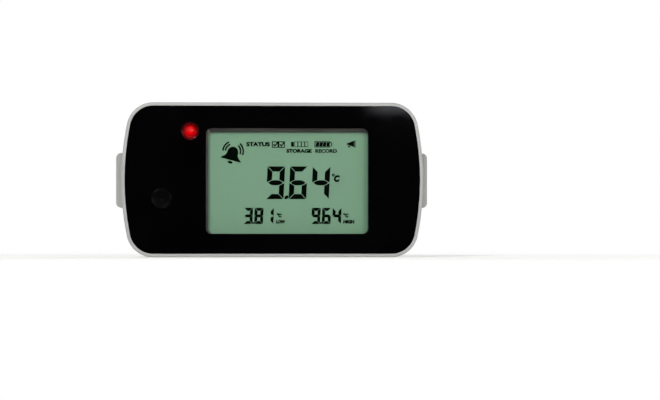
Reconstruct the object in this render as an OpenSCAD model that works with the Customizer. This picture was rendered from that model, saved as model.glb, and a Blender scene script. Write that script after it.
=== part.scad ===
// Temperature data logger: two shells, a glossy face with a liquid crystal display, a warning lamp
// and a start button, one board, and two AAA cells behind a door in the back.
// Each piece is modelled with x to the right, y up and z from the back to the face.
// stand() then sets the logger on its lower long side with its face to the front.

/* [Housing] */
// Distance from the window to the left end of the housing
left_room = 20.065; // [19.9:0.005:24]
// Distance from the window to the right end of the housing
right_room = 13.185; // [12.7:0.005:16]
// Distance from the window to a long side of the housing
side_room = 5.85; // [5.6:0.01:8]
// Distance from the battery bay to an end of the housing
end_room = 11.25; // [11:0.01:14]
// Radius of the corners, seen from the front
corner_r = 6.4; // [5.6:0.1:7.2]
// Wall thickness of both shells
wall = 1.6; // [1.5:0.05:1.8]
// Rounding of the back edge
back_round = 2.4; // [1.8:0.1:3]
// Width of the light rim around the face
rim_w = 0.8; // [0.6:0.05:1.2]
// Rounding of the rim
rim_round = 0.55; // [0.2:0.05:0.6]
// Distance from the board back to the parting line of the shells
part_drop = 4.7; // [4.1:0.1:5.2]
// Thickness of the front shell's wall behind the face plate
front_wall = 0.9; // [0.7:0.05:1.4]

/* [Strap loops] */
// How far the strap pads stand out of the ends
pad_out = 1.5; // [1:0.1:3]
// Length of a strap pad along the end
pad_h = 13.1; // [12.4:0.1:16]
// Corner radius of a strap pad
pad_r = 1.2; // [0.6:0.1:2]
// Distance from the face back to the front end of a strap pad
pad_back = 6.6; // [5:0.1:9]
// Length of the strap slot
slot_l = 10; // [8:0.1:11]
// Width of the strap slot
slot_w = 2.4; // [1.6:0.1:2.6]
// Thickness of the bar that a strap goes round
bar_t = 2.8; // [2:0.1:3]
// Thickness of the walls around the strap slot
slot_wall = 0.9; // [0.8:0.05:1]

/* [Cells and door] */
// Diameter of a cell
cell_d = 10.5; // [9.5:0.1:11.5]
// Length of a cell with its positive button
cell_l = 44.5; // [40:0.1:44.9]
// Diameter of a cell's positive button
nub_d = 3.8; // [3:0.1:5.5]
// Height of a cell's positive button
nub_h = 1; // [0.8:0.1:1.5]
// Space between the two cells
cell_split = 0.7; // [0.5:0.1:2]
// Clearance between the cells and the bay
cell_fit = 0.3; // [0.2:0.05:0.8]
// Thickness of the bay's walls and floor
bay_wall = 0.9; // [0.8:0.05:1]
// Thickness of the battery door
door_t = 1.6; // [1.6:0.05:2]
// Gap around the battery door
door_gap = 0.15; // [0.1:0.01:0.25]
// How far the door laps over the bay's long walls
door_lap = 0.6; // [0.4:0.05:0.7]
// Width of the door's tongue and of its latch
latch_w = 4.6; // [3:0.1:5]
// How far the tongue reaches under the shell
tongue_l = 1.1; // [0.8:0.1:1.2]
// Length of the door's latch end
latch_l = 3.15; // [2.8:0.05:3.4]

/* [Contacts] */
// Thickness of the contact plates
contact_t = 0.3; // [0.2:0.05:0.35]
// Length of a fitted contact spring
spring_l = 3.4; // [3:0.1:4]
// Height of the positive contact's dimple
dimple_h = 0.8; // [0.5:0.05:0.9]
// Wire diameter of the contact springs
wire_d = 0.5; // [0.4:0.05:0.6]
// Number of turns of a contact spring
spring_turns = 3; // [2:1:3]

/* [Face and display] */
// Thickness of the face plate
face_t = 1; // [0.8:0.05:1.5]
// Gap between the face plate and the rim
face_gap = 0.05; // [0.03:0.01:0.1]
// Thickness of the adhesive behind the face plate
glue_t = 0.1; // [0.05:0.01:0.15]
// Width of the display window
window_w = 38.55; // [34:0.05:39.5]
// Height of the display window
window_h = 25.1; // [20:0.05:25.6]
// Corner radius of the display window
window_r = 1.3; // [0.5:0.1:3]
// Distance of the window's middle below the face's middle
window_down = 0.3; // [0:0.01:0.4]
// Thickness of one display glass
glass_t = 0.7; // [0.5:0.05:1.1]
// Thickness of a polariser film
film_t = 0.2; // [0.1:0.02:0.3]
// Space between the display's back film and the board
display_room = 1.4; // [1:0.1:3]

/* [Lamp and button] */
// Diameter of the warning lamp
lamp_d = 3; // [2:0.1:3.2]
// Distance of the lamp from the window's left edge
lamp_out = 3.765; // [3.7:0.005:5]
// Distance of the lamp below the window's upper edge
lamp_low = 0.7; // [0.3:0.01:4]
// Diameter of the start button
button_d = 5; // [4:0.1:5.6]
// Distance of the button from the window's left edge
button_out = 10.565; // [9.2:0.005:10.7]
// Distance of the button below the face's middle
button_down = 4.55; // [4.4:0.01:5]
// Travel of the start button
button_travel = 0.25; // [0.15:0.01:0.4]

/* [Board and fixings] */
// Thickness of the board
board_t = 1; // [0.8:0.1:1.6]
// Gap between the board's edge and the walls
board_gap = 0.6; // [0.4:0.1:1]
// Space between the board and the battery bay
part_room = 2.05; // [1.9:0.05:4]
// Distance of the housing screws from the ends
screw_in_x = 7.6; // [7.3:0.1:7.7]
// Distance of the housing screws from the long sides
screw_in_y = 6.4; // [6:0.1:6.5]
// Shank diameter of the housing screws
screw_d = 2; // [1.6:0.1:2.2]
// Head diameter of the housing screws
head_d = 3.6; // [3.4:0.1:3.8]
// Depth of the screw heads' seats in the back
seat_z = 5; // [3.5:0.1:6]
// Diameter of a holding magnet
magnet_d = 5; // [3:0.1:5]
// Thickness of a holding magnet
magnet_t = 2; // [1:0.1:3]

/* [Hidden] */

// Roundness of small and large curves
fn_small = 48;
fn_large = 96;
fn_bow = 360;
// Overrun of every cut, and the lap of pieces joined into one solid
over = 1;
lap = 0.2;

// Heights, counted from the back
cell_gap = 0.25;
cell_z = door_t + cell_gap + cell_d / 2;
bay_top = door_t + cell_gap + cell_d + cell_fit;
board_z = bay_top + bay_wall + part_room;
part_z = board_z - part_drop;
board_top = board_z + board_t;
back_film_z = board_top + display_room;
rear_glass_z = back_film_z + film_t;
front_glass_z = rear_glass_z + glass_t;
front_film_z = front_glass_z + glass_t;
display_top = front_film_z + film_t;
ledge_z = display_top + front_wall;
face_z = ledge_z + glue_t;
body_t = face_z + face_t;

// Battery bay, with its middle at the housing's middle
bay_l = 2 * contact_t + spring_l + cell_l + dimple_h;
bay_h = cell_split + 2 * cell_d + 2 * cell_fit;
cell_y = (cell_split + cell_d) / 2;
rib_t = 0.4;
rib_clear = 0.9;

// The housing holds the window with its margins, and is no shorter than the battery bay needs
body_l = max(window_w + left_room + right_room, bay_l + 2 * end_room);
body_h = window_h + 2 * side_room;
window_x = (left_room - right_room) / 2;
window_left = window_w / 2 - window_x;
lamp_left = window_left + lamp_out;
lamp_up = window_h / 2 - window_down - lamp_low;
button_left = window_left + button_out;

// The outline: long straight sides, round corners and bowed ends. The corners' centres stand on a
// fine grid, so that bow and corner meet in round numbers
centre_grid = 0.02;
half_l = body_l / 2;
half_h = body_h / 2;
corner_y = round((half_h - corner_r) / centre_grid) * centre_grid;
turn_r = half_h - corner_y;
// From the bow's centre to a corner's centre: along, across and slanted, a right triangle in round numbers
bow_shares = [99, 20, 101];
bow_along = corner_y * bow_shares[0] / bow_shares[1];
end_r = corner_y * bow_shares[2] / bow_shares[1] + turn_r;
bow_x = half_l - end_r;
corner_x = bow_x + bow_along;
// How far the swept edge strips reach inwards
reach = back_round + face_t;
inner_round = max(back_round - wall, lap);

// Seal in a step of the parting line
seal_step_w = wall / 2;
seal_step_h = 1.4;
seal_d = 0.68;
lip_gap = 0.05;
lip_h = seal_step_h - seal_d - lip_gap;

// Strap pads and slots
pad_x = half_l + pad_out;
pad_front = body_t - pad_back;
pad_chamfer = 0.6;
slot_x = pad_x - bar_t - slot_w;
exit_top = part_z - seal_step_h - slot_wall;
exit_z = exit_top - slot_w;
block_x = slot_x - slot_wall;

// Door, hinged on its outer edge at the left end
door_end_lap = 0.1;
door_half_l = bay_l / 2 + door_end_lap;
door_half_h = bay_h / 2 + door_lap;
seat_gap = 0.05;
tongue_t = 1;
tongue_lift = 0.1;
tongue_root = 2;
well_wall = 0.7;
well_gap = 0.4;
tongue_well_top = door_t + tongue_lift + tongue_t + 2 * well_gap;
arm_t = 0.9;
arm_h = 2.8;
nib_h = 0.7;
nib_out = 0.12;
latch_well_top = door_t + arm_h + well_gap;
label_w = 34;
label_h = 15;
label_depth = 0.2;
label_r = 1.5;
groove_w = 0.5;
groove_depth = 0.3;
groove_pitch = 1.1;
groove_count = 3;
scoop_r = 3;
scoop_depth = 0.7;
scoop_l = 2.2;

// Contacts in the bay
contact_rise = 1.8;
contact_clear = 1.05;
contact_z = door_t + contact_rise;
contact_h = bay_top - contact_clear - contact_z;
tail_w = 2.4;
tail_gap = 0.2;
dimple_d = 3.2;
spring_base_r = 3.3;
spring_margin = 0.3;
contact_w = 2 * (spring_base_r + spring_margin);
spring_tip_r = 1.7;
ring_steps = 8;
tube_sides = 6;

// Screws, magnets and their bosses
screw_x = half_l - screw_in_x;
screw_y = half_h - screw_in_y;
boss_r = 2.5;
column_r = 2.6;
screw_gap = 0.05;
shank_gap = 0.25;
seat_clear = 0.1;
head_h = 1.4;
screw_l = 9.5;
drive_d = 1.6;
drive_depth = 0.7;
magnet_skin = 0.7;
magnet_gap = 0.05;
magnet_ring = 0.65;
magnet_x = screw_x;
magnet_side = 0.4;
magnet_y = latch_w / 2 + well_gap + well_wall + magnet_side + magnet_d / 2;

// Face openings
lamp_gap = 0.25;
lamp_sink = 0.3;
lamp_drop = 0.1;
lamp_rim_w = 0.2;
lamp_rim_h = 0.8;
lamp_stand = 0.3;
lead_d = 0.45;
lead_pitch = 1.27;
lead_out = 0.8;
button_gap = 0.1;
button_edge = 0.25;
button_dish = 0.22;
flange_w = 0.7;
flange_h = 0.7;
flange_gap = 0.05;
stem_d = 2.6;
stem_l = 0.45;
stem_gap = 0.02;

// Display
window_gap = 0.04;
opening_w = 0.45;
gasket_in = 0.3;
gasket_shift = 0.25;
glass_edge = 0.9;
ledge_edge = 2.6;
back_edge = 0.6;
film_edge = 0.65;
frame_t = 0.8;
frame_gap = 0.1;
strip_w = 1.6;
strip_in = 0.25;
strip_bar = 0.5;

// Board
board_l = 2 * (corner_x + turn_r - wall) - 2 * board_gap;
board_h = body_h - 2 * (wall + board_gap);
notch_gap = 0.35;
notch_r = boss_r + notch_gap;
post_in = 2.2;
post_r = 1.6;
pin_d = 1.4;
pin_hole_gap = 0.1;
pin_head_d = 2.6;
pin_head_h = 0.8;
pin_l = 3.4;

// Switch under the button
switch_w = 4.4;
switch_h = 1.4;
plunger_d = 2;
plunger_up = display_top - flange_gap - flange_h - stem_l;
plunger_gap = 0.06;
plunger_in = 0.5;
leg_w = 0.6;
leg_l = 0.5;
leg_t = 0.15;

// Parts on the board: length, width, height, and places as shares of the board's half sizes
mcu = [7, 7, 0.9];
mcu_shares = [-0.12, -0.22];
radio_board = [12.4, 9.6, 0.6];
radio_shares = [-0.44, 0.3];
shield_in = 0.7;
shield_h = 1.3;
antenna = [1.6, 3.2, 1.1];
antenna_shares = [-0.93, 0.3];
memory = [5, 4, 1.5];
memory_shares = [0.14, -0.3];
memory_legs = 4;
leg_pitch = 1.27;
crystal_can = [3.2, 1.5, 0.8];
crystal_shares = [-0.12, 0.2];
regulator = [2.9, 1.6, 1];
regulator_shares = [0.42, -0.55];
sounder_d = 9;
sounder_h = 1.8;
sounder_shares = [0.42, 0.3];
sound_hole_d = 1.6;
sounder_ring = 0.3;
sensor_d = 1.8;
sensor_shares = [0.93, -0.36];
sensor_wire = 0.3;
chip = [1.6, 0.8, 0.6];
chip_shares = [
  [-0.12, -0.62], [-0.02, -0.62], [-0.22, -0.62], [0.04, 0.1], [0.04, 0.3], [0.14, 0.1], [0.14, 0.3],
  [-0.3, -0.3], [-0.3, -0.1], [0.3, -0.3], [0.3, -0.1], [0.62, 0.1], [0.62, -0.1], [0.55, -0.5],
  [0.14, -0.62], [-0.62, -0.2], [-0.62, -0.35], [-0.62, -0.5]
];

module stand() {
  translate([0, body_t / 2, half_h]) rotate([90, 0, 0]) children();
}

// The wedges of the right end in which the bow and the upper corner lie, each seen from its own centre
module bow_wedge() {
  polygon([[0, 0], [2 * bow_along, 2 * corner_y], [2 * bow_along, -2 * corner_y]]);
}

module corner_wedge() {
  polygon([[0, 0], [bow_along, corner_y], [bow_along, 2 * bow_along], [0, 2 * bow_along]]);
}

// Repeats the right end, or the upper right corner, all round
module each_end() {
  for (m = [0, 1]) mirror([m, 0, 0]) children();
}

module each_corner() {
  for (mx = [0, 1], my = [0, 1]) mirror([mx, 0, 0]) mirror([0, my, 0]) children();
}

// Flat outline of the housing, moved outwards by d
module outline(d = 0) {
  translate([-corner_x, -half_h - d]) square([2 * corner_x, 2 * (half_h + d)]);
  each_corner() translate([corner_x, corner_y]) intersection() {
    circle(turn_r + d, $fn = fn_large);
    corner_wedge();
  }
  each_end() translate([bow_x, 0]) intersection() {
    circle(end_r + d, $fn = fn_bow);
    bow_wedge();
  }
}

module slab(z0, z1, d = 0) {
  translate([0, 0, z0]) linear_extrude(z1 - z0) outline(d);
}

// A plate with the outline's shape, moved outwards by d
module plate(z0, z1, d) {
  around() translate([-reach, z0]) square([reach + d, z1 - z0]);
  slab(z0, z1, lap - reach);
}

// Turns a flat profile about a centre, where its x is 0 at the radius r
module turned(r, sides) {
  intersection() {
    rotate_extrude($fn = sides) translate([r, 0]) children(0);
    translate([0, 0, -body_t]) linear_extrude(3 * body_t) children(1);
  }
}

// Carries a flat profile around the outline. The profile's x is 0 on the outline and negative inside it
module around() {
  for (m = [0, 1]) {
    mirror([0, m, 0]) translate([-corner_x, corner_y, 0]) rotate([90, 0, 90])
      linear_extrude(2 * corner_x) translate([turn_r, 0]) children();
  }
  each_corner() translate([corner_x, corner_y, 0]) turned(turn_r, fn_large) {
    children();
    corner_wedge();
  }
  each_end() translate([bow_x, 0, 0]) turned(end_r, fn_bow) {
    children();
    bow_wedge();
  }
}

// Short pins inside a swept strip, from z0 to z1, that lap the joints between its sections. The
// strip's middle lies at the distance d inside the outline
module joint_pins(z0, z1, d, r) {
  run = turn_r - d;
  each_corner() translate([corner_x, corner_y, 0]) {
    rod(0, run, z0, z1, r);
    rod(run * bow_shares[0] / bow_shares[2], run * bow_shares[1] / bow_shares[2], z0, z1, r);
  }
}

// A flat box from [x0, y0] to [x1, y1] with its lower right corner rounded
module rounded_low(x0, y0, x1, y1, r) {
  polygon([[x0, y0], [x1 - r, y0], [x1 - r, y0 + r], [x1, y0 + r], [x1, y1], [x0, y1]]);
  intersection() {
    translate([x1 - r, y0 + r]) circle(r, $fn = fn_small);
    translate([x1 - r, y0]) square(r);
  }
}

module round_rect(w, h, r) {
  x = w / 2;
  y = h / 2;
  polygon([
    [-x + r, -y], [x - r, -y], [x, -y + r], [x, y - r],
    [x - r, y], [-x + r, y], [-x, y - r], [-x, -y + r]
  ]);
  for (sx = [-1, 1], sy = [-1, 1]) translate([sx * (x - r), sy * (y - r)]) circle(r, $fn = fn_small);
}

module box(x0, x1, y0, y1, z0, z1) {
  translate([x0, y0, z0]) cube([x1 - x0, y1 - y0, z1 - z0]);
}

module rod(x, y, z0, z1, r) {
  translate([x, y, z0]) cylinder(r = r, h = z1 - z0, $fn = fn_small);
}

module corners(x, y) {
  for (sx = [-1, 1], sy = [-1, 1]) translate([sx * x, sy * y, 0]) children();
}

module on_window() {
  translate([window_x, -window_down, 0]) children();
}

module on_lamp() {
  translate([-lamp_left, lamp_up, 0]) children();
}

module on_button() {
  translate([-button_left, -button_down, 0]) children();
}

module on_board(shares) {
  translate([shares[0] * board_l / 2, shares[1] * board_h / 2, 0]) children();
}

// A part seated under the board
module under_board(shares, size) {
  on_board(shares) translate([-size[0] / 2, -size[1] / 2, board_z - size[2]]) cube(size);
}

// Strap pad seen from the front, square on its inner side
module pad_outline() {
  polygon([
    [block_x, -pad_h / 2], [pad_x - pad_r, -pad_h / 2], [pad_x, -pad_h / 2 + pad_r],
    [pad_x, pad_h / 2 - pad_r], [pad_x - pad_r, pad_h / 2], [block_x, pad_h / 2]
  ]);
  for (s = [-1, 1]) translate([pad_x - pad_r, s * (pad_h / 2 - pad_r)]) circle(pad_r, $fn = fn_small);
}

module front_housing() {
  color("gainsboro") stand() difference() {
    union() {
      around() difference() {
        union() {
          translate([-wall, part_z]) square([wall, body_t - rim_round - part_z]);
          translate([-rim_w, body_t - rim_round - lap]) square([rim_w - rim_round, rim_round + lap]);
          intersection() {
            translate([-rim_round, body_t - rim_round]) circle(rim_round, $fn = fn_small);
            translate([-rim_round, body_t - rim_round]) square(rim_round);
          }
          translate([-wall, part_z - lip_h])
            square([wall - seal_step_w - lip_gap, lip_h + lap]);
        }
        translate([-reach - over, ledge_z]) square([reach + over - rim_w, body_t]);
      }
      slab(display_top, ledge_z, -wall / 2);
      joint_pins(part_z + lap, ledge_z - lap, wall / 2, wall / 4);
      each_end() difference() {
        translate([0, 0, part_z]) intersection() {
          linear_extrude(pad_front - part_z) pad_outline();
          rotate([90, 0, 0]) translate([0, 0, -pad_h]) linear_extrude(2 * pad_h) polygon([
            [half_l - turn_r, 0], [pad_x, 0], [pad_x, pad_front - part_z - pad_chamfer],
            [pad_x - pad_chamfer, pad_front - part_z], [half_l - turn_r, pad_front - part_z]
          ]);
        }
        slab(part_z - over, pad_front + over, -wall / 2);
      }
      corners(screw_x, screw_y) rod(0, 0, part_z, display_top + lap, boss_r);
      each_end() rod(board_l / 2 - post_in, 0, board_top, display_top + lap, post_r);
    }
    on_window() translate([0, 0, display_top - over]) linear_extrude(front_wall + 2 * over)
      round_rect(window_w + 2 * opening_w, window_h + 2 * opening_w, window_r);
    on_lamp() rod(0, 0, display_top - over, ledge_z + over, lamp_d / 2 + lamp_gap);
    on_button() rod(0, 0, display_top - over, ledge_z + over, button_d / 2 + button_gap);
    corners(screw_x, screw_y)
      rod(0, 0, part_z - over, seat_z + screw_l + over / 2, screw_d / 2 + screw_gap);
    each_end() rod(board_l / 2 - post_in, 0, board_top - over, board_z + pin_l, pin_d / 2 + screw_gap);
  }
}

module back_shell_solid() {
  around() difference() {
    rounded_low(-reach, 0, 0, part_z, back_round);
    difference() {
      translate([-reach - over, wall]) square([reach + over - wall, part_z]);
      translate([-wall - inner_round, wall]) difference() {
        square(inner_round);
        translate([0, inner_round]) circle(inner_round, $fn = fn_small);
      }
    }
  }
  slab(0, wall, lap - reach);
}

// Strap loop at the right end: the pad outside and the closed-off passage inside
module strap_block() {
  intersection() {
    linear_extrude(part_z) pad_outline();
    rotate([90, 0, 0]) translate([0, 0, -pad_h]) linear_extrude(2 * pad_h)
      rounded_low(half_l - wall, 0, pad_x, part_z, back_round);
  }
  box(block_x, half_l - seal_step_w, -pad_h / 2, pad_h / 2, 0, part_z - seal_step_h);
}

module strap_passage() {
  box(slot_x, slot_x + slot_w, -slot_l / 2, slot_l / 2, -over, exit_top);
  box(slot_x, pad_x + over, -slot_l / 2, slot_l / 2, exit_z, exit_top);
}

// Flat outline of the battery door, grown by g
module door_outline(g = 0) {
  translate([-door_half_l - g, -door_half_h - g]) square([2 * (door_half_l + g), 2 * (door_half_h + g)]);
  translate([0, -latch_w / 2 - g]) square([door_half_l + latch_l + g, latch_w + 2 * g]);
}

module cell_rib() {
  box(-bay_l / 2 + contact_t + spring_l, bay_l / 2 - contact_t - spring_l, -rib_t / 2, rib_t / 2,
    cell_z + rib_clear, bay_top + lap);
}

module rear_housing() {
  well_x = door_half_l + tongue_l + well_gap;
  well_y = latch_w / 2 + well_gap;
  latch_x = door_half_l + latch_l + well_gap;
  color("gainsboro") stand() difference() {
    union() {
      back_shell_solid();
      each_end() strap_block();
      box(-bay_l / 2 - bay_wall, bay_l / 2 + bay_wall, -bay_h / 2 - bay_wall, bay_h / 2 + bay_wall,
        wall - lap, bay_top + bay_wall);
      corners(screw_x, screw_y) rod(0, 0, wall - lap, part_z - lip_gap, column_r);
      corners(magnet_x, magnet_y) rod(0, 0, wall - lap, magnet_skin + magnet_t, magnet_d / 2 + magnet_ring);
      box(-well_x - well_wall, -bay_l / 2, -well_y - well_wall, well_y + well_wall,
        wall - lap, tongue_well_top + well_wall);
      box(bay_l / 2, latch_x + well_wall, -well_y - well_wall, well_y + well_wall,
        wall - lap, latch_well_top + well_wall);
    }
    around() translate([-wall - over, part_z - seal_step_h])
      square([over + wall - seal_step_w, seal_step_h + over]);
    each_end() strap_passage();
    translate([0, 0, -over]) linear_extrude(door_t + seat_gap + over) door_outline(door_gap);
    box(-bay_l / 2, bay_l / 2, -bay_h / 2, bay_h / 2, 0, bay_top);
    box(-well_x, -bay_l / 2 + lap, -well_y, well_y, door_t, tongue_well_top);
    box(bay_l / 2 - lap, latch_x, -well_y, well_y, door_t, latch_well_top);
    corners(screw_x, screw_y) {
      rod(0, 0, -over, seat_z, head_d / 2 + seat_clear);
      rod(0, 0, 0, part_z + over, screw_d / 2 + shank_gap);
    }
    corners(magnet_x, magnet_y)
      rod(0, 0, magnet_skin, magnet_skin + magnet_t + over, magnet_d / 2 + magnet_gap);
    for (s = [-1, 1], e = [-1, 1]) {
      box(e * (bay_l / 2 - contact_t / 2) - contact_t / 2 - tail_gap,
        e * (bay_l / 2 - contact_t / 2) + contact_t / 2 + tail_gap,
        s * cell_y - tail_w / 2 - tail_gap, s * cell_y + tail_w / 2 + tail_gap,
        bay_top - over, bay_top + bay_wall + over);
    }
    translate([latch_x - well_gap + door_gap + scoop_r / 2, 0, scoop_depth - scoop_r]) rotate([90, 0, 0])
      translate([0, 0, -scoop_l]) cylinder(r = scoop_r, h = 2 * scoop_l, $fn = fn_small);
  }
  color("gainsboro") stand() cell_rib();
}

module face_plate() {
  color([0.03, 0.03, 0.03]) stand() difference() {
    plate(face_z, body_t, -rim_w - face_gap);
    on_window() translate([0, 0, face_z - over]) linear_extrude(face_t + 2 * over)
      round_rect(window_w, window_h, window_r);
    on_lamp() {
      rod(0, 0, face_z - over, body_t + over, lamp_d / 2 + lamp_gap);
      translate([0, 0, body_t - lamp_sink]) cylinder(
        r1 = lamp_d / 2 + lamp_gap, r2 = lamp_d / 2 + lamp_gap + 2 * lamp_sink, h = 2 * lamp_sink, $fn = fn_small);
    }
    on_button() rod(0, 0, face_z - over, body_t + over, button_d / 2 + button_gap);
  }
}

module face_adhesive() {
  color("dimgray") stand() difference() {
    plate(ledge_z, face_z, -rim_w - 2 * lap);
    on_window() translate([0, 0, ledge_z - over]) linear_extrude(glue_t + 2 * over)
      round_rect(window_w + 2 * opening_w, window_h + 2 * opening_w, window_r);
    on_lamp() rod(0, 0, ledge_z - over, face_z + over, lamp_d / 2 + 2 * lamp_gap);
    on_button() rod(0, 0, ledge_z - over, face_z + over, button_d / 2 + 2 * button_gap);
  }
}

module display_window() {
  color([0.8, 0.85, 0.85, 0.4]) stand() on_window() translate([0, 0, face_z]) linear_extrude(face_t)
    round_rect(window_w - 2 * window_gap, window_h - 2 * window_gap, window_r - window_gap);
}

// Foam frame between window and display, a little off centre as glued
module display_gasket() {
  color([0.25, 0.24, 0.24]) stand() on_window() translate([0, 0, display_top])
    linear_extrude(front_wall + glue_t) difference() {
      round_rect(window_w + 2 * opening_w - 2 * window_gap, window_h + 2 * opening_w - 2 * window_gap, window_r);
      translate([gasket_shift, -gasket_shift])
        round_rect(window_w - 2 * gasket_in, window_h - 2 * gasket_in, window_r);
    }
}

module display_layer(z, t, edge_x, edge_y) {
  stand() on_window() translate([0, 0, z]) linear_extrude(t)
    square([window_w + 2 * edge_x, window_h + 2 * edge_y], center = true);
}

module lcd_front_polariser() {
  color([0.45, 0.6, 0.5]) display_layer(front_film_z, film_t, film_edge, film_edge);
}

module lcd_front_glass() {
  color([0.7, 0.8, 0.75, 0.5]) display_layer(front_glass_z, glass_t, glass_edge, ledge_edge);
}

module lcd_rear_glass() {
  color([0.7, 0.8, 0.75, 0.5]) display_layer(rear_glass_z, glass_t, glass_edge, back_edge);
}

module lcd_reflector() {
  color("silver") display_layer(back_film_z, film_t, film_edge, back_edge - gasket_in);
}

module lcd_frame() {
  in_w = window_w + 2 * (glass_edge + frame_gap);
  in_h = window_h + 2 * (ledge_edge + frame_gap);
  bar_y = window_h / 2 + ledge_edge - strip_in - strip_w - frame_gap - strip_bar;
  color("whitesmoke") stand() on_window() {
    translate([0, 0, board_top]) linear_extrude(display_top - board_top) difference() {
      square([in_w + 2 * frame_t, in_h + 2 * frame_t], center = true);
      square([in_w, in_h], center = true);
    }
    for (m = [0, 1]) mirror([0, m, 0])
      box(-in_w / 2 - lap, in_w / 2 + lap, bar_y, bar_y + strip_bar, board_top, back_film_z - frame_gap);
  }
}

// Striped rubber strips that join the glass to the board
module zebra_strips() {
  strip_y = window_h / 2 + ledge_edge - strip_in - strip_w;
  color([0.85, 0.45, 0.55]) stand() on_window() for (m = [0, 1]) mirror([0, m, 0])
    box(-window_w / 2, window_w / 2, strip_y, strip_y + strip_w, board_top, front_glass_z);
}

module main_board() {
  color("darkgreen") stand() difference() {
    box(-board_l / 2, board_l / 2, -board_h / 2, board_h / 2, board_z, board_top);
    each_corner() {
      rod(screw_x, screw_y, board_z - over, board_top + over, notch_r);
      box(screw_x, board_l, screw_y - notch_r, board_h, board_z - over, board_top + over);
      box(screw_x - notch_r, board_l, screw_y, board_h, board_z - over, board_top + over);
    }
    each_end() rod(board_l / 2 - post_in, 0, board_z - over, board_top + over, pin_d / 2 + pin_hole_gap);
    on_lamp() for (s = [-1, 1])
      rod(s * lead_pitch, 0, board_z - over, board_top + over, lead_d);
  }
}

module board_screws() {
  color("silver") stand() each_end() translate([board_l / 2 - post_in, 0, 0]) difference() {
    union() {
      rod(0, 0, board_z - pin_head_h, board_z, pin_head_d / 2);
      rod(0, 0, board_z - lap, board_z + pin_l - lap, pin_d / 2);
    }
    translate([0, 0, board_z - pin_head_h - over]) {
      box(-pin_d / 2, pin_d / 2, -lap, lap, 0, over + pin_head_h / 2);
      box(-lap, lap, -pin_d / 2, pin_d / 2, 0, over + pin_head_h / 2);
    }
  }
}

module housing_screws() {
  color("silver") stand() corners(screw_x, screw_y) difference() {
    union() {
      rod(0, 0, seat_z - head_h, seat_z, head_d / 2);
      rod(0, 0, seat_z - lap, seat_z + screw_l, screw_d / 2);
    }
    translate([0, 0, seat_z - head_h - over]) {
      box(-drive_d / 2, drive_d / 2, -lap, lap, 0, over + drive_depth);
      box(-lap, lap, -drive_d / 2, drive_d / 2, 0, over + drive_depth);
    }
  }
}

module housing_seal() {
  low = part_z - seal_step_h;
  inset = seal_step_w + lip_gap;
  color("darkslategray") stand() {
    around() translate([-inset - seal_d, low]) square(seal_d);
    joint_pins(low + seal_d / 4, low + seal_d * 3 / 4, inset + seal_d / 2, seal_d / 4);
  }
}

module magnets() {
  color("silver") stand() corners(magnet_x, magnet_y)
    rod(0, 0, magnet_skin, magnet_skin + magnet_t, magnet_d / 2);
}

module battery_door() {
  arm_x = door_half_l + latch_l - nib_out;
  color("gainsboro") stand() {
    difference() {
      linear_extrude(door_t) door_outline();
      translate([0, 0, -over]) linear_extrude(over + label_depth) round_rect(label_w, label_h, label_r);
      for (i = [0 : groove_count - 1])
        translate([door_half_l - (i + 1) * groove_pitch - groove_w, -latch_w, -over])
          cube([groove_w, 2 * latch_w, over + groove_depth]);
    }
    box(-door_half_l - tongue_l, -door_half_l + tongue_root, -latch_w / 2, latch_w / 2,
      door_t + tongue_lift, door_t + tongue_lift + tongue_t);
    box(-door_half_l, -door_half_l + tongue_root, -latch_w / 2, latch_w / 2,
      door_t - lap, door_t + tongue_lift + lap);
    box(arm_x - arm_t, arm_x, -latch_w / 2, latch_w / 2, door_t - lap, door_t + arm_h);
    box(arm_x - lap, arm_x + nib_out - door_gap / 3, -latch_w / 2, latch_w / 2,
      door_t + tongue_lift, door_t + tongue_lift + nib_h);
  }
}

// A cell along x with its positive button to the right
module cell() {
  edge = nub_h / 2;
  rotate([0, 90, 0]) rotate_extrude($fn = fn_large) {
    square([cell_d / 2 - edge, cell_l - nub_h]);
    translate([0, edge]) square([cell_d / 2, cell_l - nub_h - 2 * edge]);
    translate([cell_d / 2 - edge, edge]) circle(edge, $fn = fn_small);
    translate([cell_d / 2 - edge, cell_l - nub_h - edge]) circle(edge, $fn = fn_small);
    translate([0, cell_l - nub_h - lap]) square([nub_d / 2, nub_h + lap]);
  }
}

module battery_1() {
  color("steelblue") stand() translate([-bay_l / 2 + contact_t + spring_l, cell_y, cell_z]) cell();
}

module battery_2() {
  color("steelblue") stand() rotate([0, 0, 180])
    translate([-bay_l / 2 + contact_t + spring_l, cell_y, cell_z]) cell();
}

// Points of one ring of the spring's wire, at step i
function ring_at(i, steps) =
  let (
    a = 360 * i / ring_steps,
    share = i / steps,
    r = spring_base_r + (spring_tip_r - spring_base_r) * share,
    x = wire_d / 2 + (spring_l - wire_d) * share
  ) [for (k = [0 : tube_sides - 1])
    let (
      b = 360 * k / tube_sides,
      q = r + wire_d / 2 * cos(b)
    ) [x + wire_d / 2 * sin(b), q * cos(a), q * sin(a)]];

function spring_centre(i, steps) =
  let (
    a = 360 * i / ring_steps,
    share = i / steps,
    r = spring_base_r + (spring_tip_r - spring_base_r) * share
  ) [wire_d / 2 + (spring_l - wire_d) * share, r * cos(a), r * sin(a)];

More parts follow.
